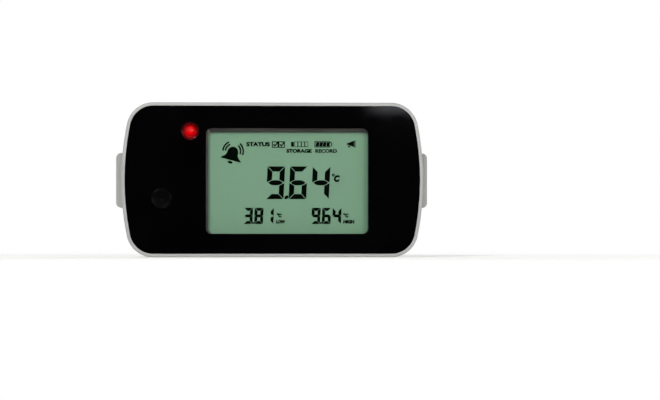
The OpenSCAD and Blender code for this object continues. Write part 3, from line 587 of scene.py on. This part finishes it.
figures = []
for i, figure in enumerate("964"):
    figures += digit(figure, big_first + big_pitch * i, big_z, **big)
figures.append(big_point)
for first, number in ((-9.2, "381"), (6.92, "964")):
    for i, figure in enumerate(number):
        figures += digit(figure, first + small_pitch * i, small_z, **small)
    figures.append(arc(first + small_pitch / 2 + point_shift, point_z, point_r, 12))
print(len(figures), "bars and points")

# %% [markdown]
# Many signs are lines of an even width: boxes, ticks, and the arcs beside the bell. A curve with a
# bevel would give round wires, but these are as flat as the segments. So a strip is laid along a
# path as a row of quads with mitred joints. A second function tilts a whole sign.

# %% Strips along a path
def strip(path, width, closed=False):
    """Quads of an even width along a path, with the joints mitred."""
    count = len(path)
    sides = []
    for i, (x, z) in enumerate(path):
        before = path[i - 1] if closed or i else path[i]
        after = path[(i + 1) % count] if closed or i < count - 1 else path[i]
        run = [Vector((x - before[0], z - before[1])), Vector((after[0] - x, after[1] - z))]
        run = [r.normalized() for r in run if r.length > 0]
        across = Vector((-sum(r.y for r in run), sum(r.x for r in run))).normalized()
        stretch = width / 2 / max(0.3, across.dot(Vector((-run[0].y, run[0].x))))
        sides.append((Vector((x, z)) + across * stretch, Vector((x, z)) - across * stretch))
    pairs = [(sides[i], sides[(i + 1) % count]) for i in range(count if closed else count - 1)]
    return [[tuple(p) for p in (a[0], b[0], b[1], a[1])] for a, b in pairs]


def turned(outlines, degrees, x, z):
    """Outlines turned about their origin, which then goes to x, z."""
    c, s = math.cos(math.radians(degrees)), math.sin(math.radians(degrees))
    return [[(x + a * c - b * s, z + a * s + b * c) for a, b in outline] for outline in outlines]


print("an arc of ten steps takes", len(strip(arc(0, 0, 1, 10, 0, 90), 0.1)), "quads")

# %% [markdown]
# The warning sign is a bell that rings: a dome that flares out at the mouth, with a clapper, both
# tilted, and a pair of sound arcs on each side. The outline could be a list of points, but a
# formula for its half width keeps both sides the same and the curve smooth.

# %% Ringing bell
mouth_top, flare_top, dome_w = 0.08, 0.46, 0.55


def bell_half_width(share):
    """Half width at a share of the height: a band at the mouth, a flare, then a dome."""
    if share < mouth_top:
        return 1
    if share < flare_top:
        return dome_w + (1 - dome_w) * ((flare_top - share) / (flare_top - mouth_top)) ** 1.7
    return dome_w * math.sqrt(1 - ((share - flare_top) / (1 - flare_top)) ** 2.4)


bell_w, bell_h, bell_steps = 2.42, 3.3, 24
clapper_w, clapper_h, clapper_z, clapper_steps = 0.6, 0.32, -0.5, 16
bell_levels = [i / bell_steps for i in range(bell_steps)]
bell = [(bell_w * bell_half_width(s), bell_h * s) for s in bell_levels]
bell = bell + [(0, bell_h)] + [(-x, z) for x, z in reversed(bell)]
clapper = [
    (clapper_w * math.cos(t), clapper_z + clapper_h * math.sin(t))
    for t in (2 * math.pi * i / clapper_steps for i in range(clapper_steps))]
figures += turned([bell, clapper], -15, -13.41, 5.02)
for radius, start, end in ((1.85, -22, 47), (2.47, -22, 47), (1.75, 112, 176), (2.36, 112, 176)):
    figures += strip(arc(-12.9, 7.15, radius, 10, start, end), 0.38)
print("bell with", len(bell), "points")

# %% [markdown]
# Along the top run small signs: two ticked boxes, a bar for the storage with one of its five cells
# full, a battery with four charged cells, and a horn for the sounder. Boxes are strips round a
# rectangle, and what is full is a plain outline. A degree sign stands beside each number.

# %% Signs in the top row
def slab(x0, x1, z0, z1):
    return [(x0, z0), (x1, z0), (x1, z1), (x0, z1)]


row_low, row_high, line_w = 8.25, 9.4, 0.2
box_w = 1.35
for x in (-3.5, -1.95):
    figures += strip(slab(x, x + box_w, row_low - 0.15, row_high), line_w, closed=True)
    figures += strip([(x + 0.3, 8.85), (x + 0.6, 8.45), (x + 1.3, 9.3)], 0.3)

storage_cells, storage_x, storage_pitch = 5, 0.95, 0.82
figures.append(slab(storage_x, storage_x + storage_pitch - 0.1, row_low, row_high))
for i in range(1, storage_cells):
    x = storage_x + i * storage_pitch
    figures += strip(slab(x + 0.06, x + storage_pitch - 0.06, row_low, row_high), 0.12, closed=True)

case_low, case_high = row_low - 0.05, row_high + 0.05
case = [
    (6.65, case_low), (10.1, case_low), (10.65, 8.55),
    (10.65, 9.1), (10.1, case_high), (6.65, case_high)]
figures += strip(case, line_w, closed=True)
charge_cells, charge_x, charge_pitch = 4, 6.85, 0.84
for i in range(charge_cells):
    x = charge_x + i * charge_pitch
    figures.append([(x, 8.35), (x + 0.75, 8.35), (x + 0.9, 9.3), (x + 0.15, 9.3)])

horn = [(14.25, 8.8), (15.0, 8.6), (16.0, 8.15), (16.0, 9.72), (15.0, 9.32), (14.25, 9.05)]
handle = [(14.5, 8.12), (14.95, 8.12), (15.15, 8.5), (14.7, 8.6)]
horn_rim = slab(16.08, 16.36, 8.1, 9.76)
figures += [horn, handle, horn_rim]
for x, z, degree_r in ((11.05, 1.5, 0.24), (-2.2, -7.82, 0.17), (13.67, -7.82, 0.17)):
    figures += strip(arc(x, z, degree_r, 10), degree_r, closed=True)
print(len(figures), "outlines in all")

# %% [markdown]
# Lit segments are near black with a green cast, because the film over them is green, and they have
# the film's dull surface. All the outlines so far become one piece, because they are one layer of
# the display and never move apart.

# %% Figures on the display
segments, _ = grained(
    "liquid crystal segments, switched on", ("#030a05", "#050d07"),
    patch=5, grain=0.12, depth=0.001, rough=(0.1, 0.16), IOR=1.49)
thin_plates("display_figures", figures, film_front - ink_t, ink_t, segments, "housing")

# %% [markdown]
# The words are plain generic ones. Drawing each letter as strips would take long, so they are set
# in Blender's own typeface. Turning a text into a mesh gives its points, and moving each point by
# its share of the whole width, height and depth fits the word to its box on the display.

# %% Words on the display
def word(name, text, x, z, width, height, weight, slant):
    """A word fitted to a box whose middle is at x, z, as a thin plate that faces the front."""
    letters = bpy.data.curves.new(name, "FONT")
    letters.body = text
    letters.offset = weight
    letters.shear = slant
    letters.resolution_u = 3
    letters.extrude = 0.5
    drawn = bpy.data.objects.new(name, letters)
    mesh = bpy.data.meshes.new_from_object(drawn)
    bpy.data.objects.remove(drawn)
    bpy.data.curves.remove(letters)
    low = [min(v.co[k] for v in mesh.vertices) for k in range(3)]
    high = [max(v.co[k] for v in mesh.vertices) for k in range(3)]
    for v in mesh.vertices:
        share = [(v.co[k] - low[k]) / (high[k] - low[k]) for k in range(3)]
        v.co = (window.x + (x + (share[0] - 0.5) * width) * MM,
                (film_front - share[2] * ink_t) * MM,
                window.z + (z + (share[1] - 0.5) * height) * MM)
    mesh.name = name
    mesh.materials.clear()
    mesh.materials.append(segments)
    piece = put_in_scene(name, mesh)
    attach(piece, "housing")


# Each row: name, text, middle across and up, width, height, added weight and slant
words = (
    ("word_status", "STATUS", -6.9, 8.82, 5.65, 1.05, 0.06, 0),
    ("word_storage", "STORAGE", 2.87, 7.24, 6.05, 0.94, 0.065, 0),
    ("word_record", "RECORD", 9.36, 7.24, 5.2, 0.9, 0.05, 0),
    ("unit_large", "C", 11.9, 0.66, 1.45, 1.66, 0.08, 0.15),
    ("unit_lowest", "C", -1.68, -8.17, 0.82, 0.95, 0.09, 0),
    ("unit_highest", "C", 14.26, -8.17, 0.82, 0.95, 0.09, 0),
    ("word_lowest", "LOW", -1.5, -9.65, 2.25, 0.9, 0.085, 0.1),
    ("word_highest", "HIGH", 14.76, -9.65, 2.7, 0.9, 0.075, 0.1),
)
for row in words:
    word(*row)
print(len(words), "words")

# %% [markdown]
# The warning lamp is a clear red epoxy dome with a lit chip inside: brightest in the middle, deep
# red towards its edge. A real lamp scatters its light inside the epoxy, which takes long to render
# and stays noisy, so the surface glows by itself here, and its strength falls off from the axis.

# %% Warning lamp
epoxy, shader = grained(
    "epoxy, cast red and lit from inside", ("#8a0404", "#720303"),
    patch=1.5, grain=0.3, depth=0.002, rough=(0.08, 0.14), IOR=1.53)
tree = epoxy.node_tree
from_axis = axis_distance(tree, "alarm_led")
fall = add(tree, "MapRange", SMOOTH, {
    "Value": from_axis, "From Min": 0.5, "From Max": lamp_r + 0.1,
    "To Min": 0.55, "To Max": 0.085})
hot = add(tree, "MapRange", SMOOTH, {
    "Value": from_axis, "From Min": 0.05, "From Max": 0.4, "To Min": 1, "To Max": 0})
glow = add(tree, "Mix", RGBA, {0: hot, MIX_A: linear("#f8000a"), MIX_B: linear("#ff302a")})
tree.links.new(glow.outputs[MIX_OUT], shader.inputs["Emission Color"])
tree.links.new(fall.outputs[0], shader.inputs["Emission Strength"])
dress(epoxy, "alarm_led")

# %% [markdown]
# The start button is a black moulded cap, slightly hollow on top. Its surface is etched finer than
# a wavelength or two, which takes most of the shine away. Raising the roughness would only spread
# the shine, so the specular level is low instead, and the cap is barely seen on the black face.

# %% Start button
key_cap, shader = grained(
    "ABS, moulded black and rubbed smooth", ("#040405", "#070708"),
    patch=3, grain=0.14, depth=0.0005, rough=(0.2, 0.28), IOR=1.54)
shader.inputs["Specular IOR Level"].default_value = 0.06
dress(key_cap, "start_button")

# %% [markdown]
# Inside, each piece gets the finish of its trade. They differ only in colour, grain, gloss and kind
# of metal or plastic, so one table holds them, with a comment on what each gives the eye. A metal
# keeps Blender's own IOR. Its grain is finer than a tenth of a millimetre, and is drawn at about
# that, so that it shows.

# %% Plain finishes inside
# Each row: name, two colours, patch, grain and depth in mm, roughness, sockets, pieces
plain = (
    # Dull black tape, a little uneven where the glue below it is
    ("polyester tape, black with acrylic glue", ("#1a1a1b", "#232324"),
     5, 0.3, 0.01, (0.5, 0.7), {"IOR": 1.46}, ["face_adhesive"]),
    # Smooth white plastic that spreads light behind the display
    ("polycarbonate, moulded white", ("#e6e6e2", "#dededa"),
     9, 0.15, 0.002, (0.3, 0.42), {"IOR": 1.58}, ["lcd_frame"]),
    # A silvery film, brushed so that it shines softly from any side
    ("reflector film, metallised and brushed", ("#cfd3d0", "#c2c7c4"),
     6, 0.12, 0.001, (0.25, 0.4), {"Metallic": 0.9}, ["lcd_reflector"]),
    # Soft grey rubber without shine
    ("silicone rubber, moulded dark grey", ("#2b2d2f", "#333537"),
     6, 0.2, 0.004, (0.55, 0.7), {"IOR": 1.41}, ["housing_seal"]),
    # Bright discs, warm in tone from the nickel
    ("neodymium, nickel plated", ("#c9c7c1", "#b9b7b1"),
     2, 0.1, 0.001, (0.12, 0.24), {"Metallic": 1}, ["magnets"]),
    # The same plating on rolled strip and wire, a little duller
    ("spring steel, nickel plated and rolled", ("#cfcbbf", "#c0bcb0"),
     2, 0.12, 0.002, (0.18, 0.32), {"Metallic": 1},
     ["battery_springs", "contact_negative", "contact_positive", "contact_link"]),
    # Grey-white wire with a soft shine, since tin is never quite smooth
    ("copper wire, tinned", ("#c6c6c4", "#b4b4b2"),
     1, 0.1, 0.002, (0.25, 0.4), {"Metallic": 1}, ["led_leads"]),
    # Cream plastic, waxy
    ("nylon, moulded white", ("#dfddd2", "#d2d0c4"),
     1, 0.1, 0.002, (0.35, 0.5), {"IOR": 1.53}, ["switch_plunger"]),
    # Black plastic, dull from the glass fibres at its surface
    ("glass-filled nylon, moulded black", ("#17181a", "#202124"),
     2, 0.12, 0.004, (0.45, 0.6), {"IOR": 1.53}, ["start_switch", "sounder"]),
    # A glossy brown bead, thicker and darker in places
    ("epoxy resin, dipped brown", ("#5a2f14", "#6e3c1c"),
     1, 0.3, 0.01, (0.12, 0.25), {"IOR": 1.55}, ["temperature_sensor"]),
    # Chalky white, like china without its glaze
    ("alumina ceramic, fired white", ("#e9e6dc", "#dcd9ce"),
     1, 0.1, 0.003, (0.4, 0.55), {"IOR": 1.7}, ["chip_antenna"]),
    # Pale metal with the faint streaks of the sheet it was stamped from
    ("nickel silver, stamped", ("#c8c6bf", "#bab8b1"),
     3, 0.12, 0.002, (0.22, 0.38), {"Metallic": 1}, ["radio_shield", "crystal"]),
)
for name, swatches, patch, grain, depth, rough, sockets, pieces in plain:
    finish, _ = grained(name, swatches, patch, grain, depth, rough, **sockets)
    dress(finish, *pieces)
print(len(plain), "plain finishes")

# %% [markdown]
# The two plates of the display are float glass, which is clear with a faint green cast. The films
# hide them, so the usual shader with most of its light let through is enough.

# %% Display glass
glass, shader = grained(
    "float glass, cut and ground", ("#dcebe4", "#d2e6dc"),
    patch=8, grain=0.2, depth=0, rough=(0.02, 0.06), IOR=1.52)
shader.inputs["Transmission Weight"].default_value = 0.9
dress(glass, "lcd_front_glass", "lcd_rear_glass")

# %% [markdown]
# The strips between glass and board are rubber, with thin black conducting layers between pink
# insulating ones. The real layers are a twentieth of a millimetre, too fine to show, so they are
# drawn at a fifth. Folding the coordinate back and forth gives even layers along the whole strip.

# %% Striped contact rubber
layer_pitch = 0.2 * MM
zebra, shader = grained(
    "silicone rubber, layered pink and carbon black", ("#d98a9a", "#cf7c8e"),
    patch=4, grain=0.15, depth=0.003, rough=(0.5, 0.65), IOR=1.41)
tree = zebra.node_tree
where = add(tree, "SeparateXYZ", sockets={0: add(tree, "TexCoord").outputs["Object"]})
folded = add(tree, "Math", {"operation": "PINGPONG"}, {0: where.outputs["X"], 1: layer_pitch / 2})
black_layer = add(tree, "Math", {"operation": "LESS_THAN"}, {0: folded, 1: layer_pitch / 4})
paint_over(shader, black_layer, "#1c1a1b")
dress(zebra, "zebra_strips")

# %% [markdown]
# A circuit board is glass cloth in epoxy, with copper tracks under a glossy green lacquer. The
# tracks show as lighter raised lines, side by side: level in some areas and upright in others. They
# could be drawn one by one, but nobody follows a track with the eye. A slow noise chooses the area,
# and a folded coordinate draws the lines. The tinned rings of the plated holes between them come
# from a Voronoi pattern. The radio's own small board is the same in blue.

# %% Circuit boards
def emboss(shader, height, depth):
    """Lay one more relief over the shader's own, with its depth in mm."""
    tree, normal = shader.id_data, shader.inputs["Normal"]
    relief = add(tree, "Bump", sockets={
        "Height": height, "Distance": depth * MM, "Normal": normal.links[0].from_socket})
    tree.links.new(relief.outputs[0], normal)


def board_lacquer(name, swatches, track_swatch, pitch, area, piece):
    """Lacquer over tracks at a pitch, in areas of about the given size, both in mm."""
    material, shader = grained(
        name, swatches, patch=9, grain=0.15, depth=0.003, rough=(0.25, 0.36), IOR=1.55)
    tree = material.node_tree
    where = add(tree, "SeparateXYZ", sockets={0: add(tree, "TexCoord").outputs["Object"]})
    flat = add(tree, "CombineXYZ", sockets={0: where.outputs["X"], 1: where.outputs["Z"]})
    areas = add(tree, "TexNoise", sockets={
        "Vector": flat, "Scale": 1 / (area * MM), "Detail": 0})
    runs = []
    for axis, compare, limit in (("Z", "GREATER_THAN", 0.53), ("X", "LESS_THAN", 0.46)):
        folded = add(tree, "Math", {"operation": "PINGPONG"}, {
            0: where.outputs[axis], 1: pitch / 2 * MM})
        line = add(tree, "Math", {"operation": "LESS_THAN"}, {0: folded, 1: pitch / 8 * MM})
        chosen = add(tree, "Math", {"operation": compare}, {0: areas, 1: limit})
        runs.append(add(tree, "Math", {"operation": "MULTIPLY"}, {0: line, 1: chosen}))
    tracks = add(tree, "Math", {"operation": "MAXIMUM"}, {0: runs[0], 1: runs[1]})
    holes = add(tree, "TexVoronoi", {"voronoi_dimensions": "2D"}, {
        "Vector": flat, "Scale": 1 / (3.2 * pitch * MM), "Randomness": 0.6})
    ring = add(tree, "Math", {"operation": "COMPARE"}, {
        0: holes.outputs["Distance"], 1: 0.1, 2: 0.035})
    paint_over(shader, tracks, track_swatch)
    paint_over(shader, ring, "#c9c4a8")
    emboss(shader, tracks, 0.035)
    dress(material, piece)


board_lacquer("glass epoxy board, green solder lacquer",
              ("#0f5132", "#0c4429"), "#2f7d50", 0.8, 7, "main_board")
board_lacquer("glass epoxy board, blue solder lacquer",
              ("#123a6b", "#0f2f58"), "#2d5f9c", 0.5, 4, "radio_module")

# %% [markdown]
# Chips are black epoxy pressed in a mould, with a matt top and a small round mark by their first
# leg. A disc on each chip would do, but a lighter spot in the colour is as flat as the real print.

# %% Chips
def chip_epoxy(node, spot_in, spot_r):
    """Black epoxy with a spot of a radius, a way in from one corner, both in mm."""
    material, shader = grained(
        f"epoxy, moulded black, {node}", ("#191a1c", "#222326"),
        patch=2, grain=0.1, depth=0.004, rough=(0.5, 0.65), IOR=1.55)
    tree = material.node_tree
    low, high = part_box(node)
    spot = Vector((low.x + spot_in * MM, 0, high.z - spot_in * MM))
    place = add(tree, "TexCoord").outputs["Object"]
    level = add(tree, "VectorMath", {"operation": "MULTIPLY"}, {0: place, 1: (1, 0, 1)})
    away_from = add(tree, "VectorMath", {"operation": "DISTANCE"}, {0: level, 1: spot})
    inside = add(tree, "Math", {"operation": "LESS_THAN"}, {
        0: away_from.outputs["Value"], 1: spot_r * MM})
    paint_over(shader, inside, "#8d8f92")
    dress(material, node)


chip_epoxy("microcontroller", 1, 0.35)
chip_epoxy("memory_chip", 1.3, 0.3)
chip_epoxy("supply_regulator", 0.5, 0.18)

# %% [markdown]
# The smallest parts on the board are blocks of sand-coloured ceramic, a millimetre or two long.
# They are too small for more than their colour and a dull fired surface.

# %% Small ceramic parts
passive, _ = grained(
    "barium titanate ceramic with tinned ends", ("#b79a72", "#a98c66"),
    patch=1.5, grain=0.1, depth=0.003, rough=(0.35, 0.5), IOR=1.7)
dress(passive, "chip_passives")

# %% [markdown]
# The screws are steel, turned and zinc plated: cool grey, half bright, with fine rings round their
# own axis. Each set is one mesh, so the rings come from the nearest axis: the screws lie in mirror
# places, and the position is folded to one quarter first. The cross in the head is struck deep, and
# is painted dark, as painted shade with dust in it: it is told from the rest by its depth below the
# head's face.

# %% Screws
def turned_steel(node, head_r, cross_r):
    """Turned steel with painted shade in its cross, from the radius of head and cross in mm."""
    ring, cross_depth = 0.2 * MM, 0.06 * MM
    material, shader = grained(
        f"steel, turned and zinc plated, {node}", ("#c3c5c7", "#b2b4b7"),
        patch=2, grain=0.1, depth=0.001, rough=(0.2, 0.34), Metallic=1)
    tree = material.node_tree
    low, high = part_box(node)
    middle = (low + high) / 2
    place = add(tree, "TexCoord").outputs["Object"]
    offset = add(tree, "VectorMath", {"operation": "SUBTRACT"}, {0: place, 1: middle})
    folded = add(tree, "VectorMath", {"operation": "ABSOLUTE"}, {0: offset})
    axis = Vector((
        high.x - middle.x - head_r * MM, 0, max(0, high.z - middle.z - head_r * MM)))
    from_axis = add(tree, "VectorMath", {"operation": "SUBTRACT"}, {0: folded, 1: axis})
    level = add(tree, "VectorMath", {"operation": "MULTIPLY"}, {0: from_axis, 1: (1, 0, 1)})
    radius = add(tree, "VectorMath", {"operation": "LENGTH"}, {0: level}).outputs["Value"]
    rings = add(tree, "Math", {"operation": "PINGPONG"}, {0: radius, 1: ring / 2})
    height = add(tree, "Math", {"operation": "DIVIDE"}, {0: rings, 1: ring})
    emboss(shader, height, 0.01)
    where = add(tree, "SeparateXYZ", sockets={0: place})
    sunk = add(tree, "Math", {"operation": "LESS_THAN"}, {
        0: where.outputs["Y"], 1: high.y - cross_depth})
    central = add(tree, "Math", {"operation": "LESS_THAN"}, {0: radius, 1: cross_r * MM})
    cross_shade_and_dust = add(tree, "Math", {"operation": "MULTIPLY"}, {0: sunk, 1: central})
    # The sunk cross is painted dark: painted shade, with its dust
    paint_over(shader, cross_shade_and_dust, "#3a3b3d")
    dress(material, node)


turned_steel("housing_screws", 1.8, 0.85)
turned_steel("board_screws", 1.3, 0.65)

# %% [markdown]
# A dry cell wears a shiny plastic sleeve, shrunk over a steel can: blue, with a pale band and a red
# line at the positive end, and both ends bare. The mesh could be cut into zones, but it keeps its
# shape, so bands of colour are laid over by their distance from the tip. One function serves both
# cells: the second lies the other way round, with its tip at the left.

# %% Dry cells
def cell_sleeve(node, tip_side):
    """A sleeve with its bands, for a cell with its tip at the right (1) or at the left (-1)."""
    tip_length, tail_length = 1.6, 0.4
    material, shader = grained(
        f"steel can in a shrunk PVC sleeve, {node}", ("#2f5f9e", "#2a5690"),
        patch=7, grain=0.3, depth=0.004, rough=(0.22, 0.32), IOR=1.53)
    tree = material.node_tree
    low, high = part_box(node)
    tip_x = high.x if tip_side > 0 else low.x
    where = add(tree, "SeparateXYZ", sockets={0: add(tree, "TexCoord").outputs["Object"]})
    run = add(tree, "Math", {"operation": "SUBTRACT"}, {0: tip_x, 1: where.outputs["X"]})
    from_tip = add(tree, "Math", {"operation": "MULTIPLY"}, {0: run, 1: tip_side / MM})
    for first, last, swatch in ((8, 14, "#d9dcde"), (14, 14.8, "#c8322c")):
        after = add(tree, "Math", {"operation": "GREATER_THAN"}, {0: from_tip, 1: first})
        before = add(tree, "Math", {"operation": "LESS_THAN"}, {0: from_tip, 1: last})
        band = add(tree, "Math", {"operation": "MULTIPLY"}, {0: after, 1: before})
        paint_over(shader, band, swatch)
    tail_start = (high.x - low.x) / MM - tail_length
    tip = add(tree, "Math", {"operation": "LESS_THAN"}, {0: from_tip, 1: tip_length})
    tail = add(tree, "Math", {"operation": "GREATER_THAN"}, {0: from_tip, 1: tail_start})
    bare = add(tree, "Math", {"operation": "MAXIMUM"}, {0: tip, 1: tail})
    paint_over(shader, bare, "#c9c7c0")
    tree.links.new(bare.outputs[0], shader.inputs["Metallic"])
    dress(material, node)


cell_sleeve("battery_1", 1)
cell_sleeve("battery_2", -1)

# %% [markdown]
# The battery door has a shallow panel, and in it a label of matt film. It is a real thin piece
# rather than paint, because its edge catches the light. The film and its ink stay below the edge of
# the panel, so nothing stands proud of the back.

# %% Label on the battery door
panel_depth = 0.2
panel_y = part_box("battery_door")[1].y / MM - panel_depth
label_w, label_h, label_r, label_t = 33.4, 14.4, 1.2, 0.07


def rounded_outline(half_w, half_h, r, x=0, z=0):
    return [
        (x + sx * (half_w - r) + a, z + sz * (half_h - r) + b)
        for sx, sz, start in ((1, 1, 0), (-1, 1, 90), (-1, -1, 180), (1, -1, 270))
        for a, b in arc(0, 0, r, 5, start, start + 90)
    ]


label_film, _ = grained(
    "polyester label film, matt", ("#cfd0cd", "#c7c8c5"),
    patch=8, grain=0.14, depth=0.002, rough=(0.4, 0.55), IOR=1.57)
label = rounded_outline(label_w / 2, label_h / 2, label_r)
thin_plates("door_label", [label], panel_y, label_t, label_film, "battery_door", centre)

# %% [markdown]
# On the label a line runs round the edge, and the outlines of both cells are printed with their
# signs, to show which way they go in. The signs could be typed, but a plus is only twelve corners.
# Which cell lies above the other comes from the construction model.

# %% Cells and signs on the label
def sign(x, z, size, stroke, plus):
    """A plus or minus sign with its middle at x, z."""
    s, t = size / 2, stroke / 2
    if not plus:
        return slab(x - s, x + s, z - t, z + t)
    corners = [(s, -t), (s, t), (t, t), (t, s), (-t, s), (-t, t),
               (-s, t), (-s, -t), (-t, -t), (-t, -s), (t, -s), (t, -t)]
    return [(x + a, z + b) for a, b in corners]


thin_line, bold_line = 0.22, 0.4
border_in, border_r = 0.9, 0.8
prints = strip(
    rounded_outline(label_w / 2 - border_in, label_h / 2 - border_in, border_r),
    thin_line, closed=True)

mark_x, mark_z, mark_w, mark_h, mark_r = 4.2, 2.9, 19.5, 3.7, 0.5
nub_w, nub_h, nub_r = 1.1, 1.6, 0.2
sign_in, sign_size = 2, 1.8
upper_tip = 1 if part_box("battery_1")[0].z > centre.z else -1
for z, tip in ((mark_z, upper_tip), (-mark_z, -upper_tip)):
    prints += strip(
        rounded_outline(mark_w / 2, mark_h / 2, mark_r, mark_x, z), bold_line, closed=True)
    nub_x = mark_x + tip * (mark_w + nub_w) / 2
    prints.append(rounded_outline(nub_w / 2, nub_h / 2, nub_r, nub_x, z))
    for end, plus in ((tip, True), (-tip, False)):
        sign_x = mark_x + end * (mark_w / 2 - sign_in)
        prints.append(sign(sign_x, z, sign_size, bold_line, plus))
print("tip of the upper cell on side", upper_tip)

# %% [markdown]
# Beside the cells are ruled lines for notes, and an arrow that points to the latch. Screen ink
# dries to a thin, dull, dark layer. It could be painted, but plates keep their edges crisp.

# %% Lines, arrow and ink
print_t = 0.02
for z in (4.2, 1.4, -1.4):
    prints.append(slab(-14.2, -8, z - thin_line / 2, z + thin_line / 2))
tip_x, tail_x, arrow_z, shaft = -8.2, -14, -4.2, bold_line / 2
head_x, head_h = tip_x - 1.7, 1
prints.append([
    (tip_x, arrow_z), (head_x, arrow_z + head_h), (head_x, arrow_z + shaft),
    (tail_x, arrow_z + shaft), (tail_x, arrow_z - shaft),
    (head_x, arrow_z - shaft), (head_x, arrow_z - head_h)])

ink, _ = grained(
    "screen ink, dark grey", ("#2c2d30", "#333437"),
    patch=3, grain=0.12, depth=0.002, rough=(0.45, 0.6), IOR=1.5)
thin_plates("label_print", prints, panel_y + label_t, print_t, ink, "battery_door", centre)
print("ink ends at y =", round(panel_y + label_t + print_t, 2), "mm")

# %% [markdown]
# The last line sets the view to show colours as they are written.

bpy.context.scene.view_settings.view_transform = "Standard"
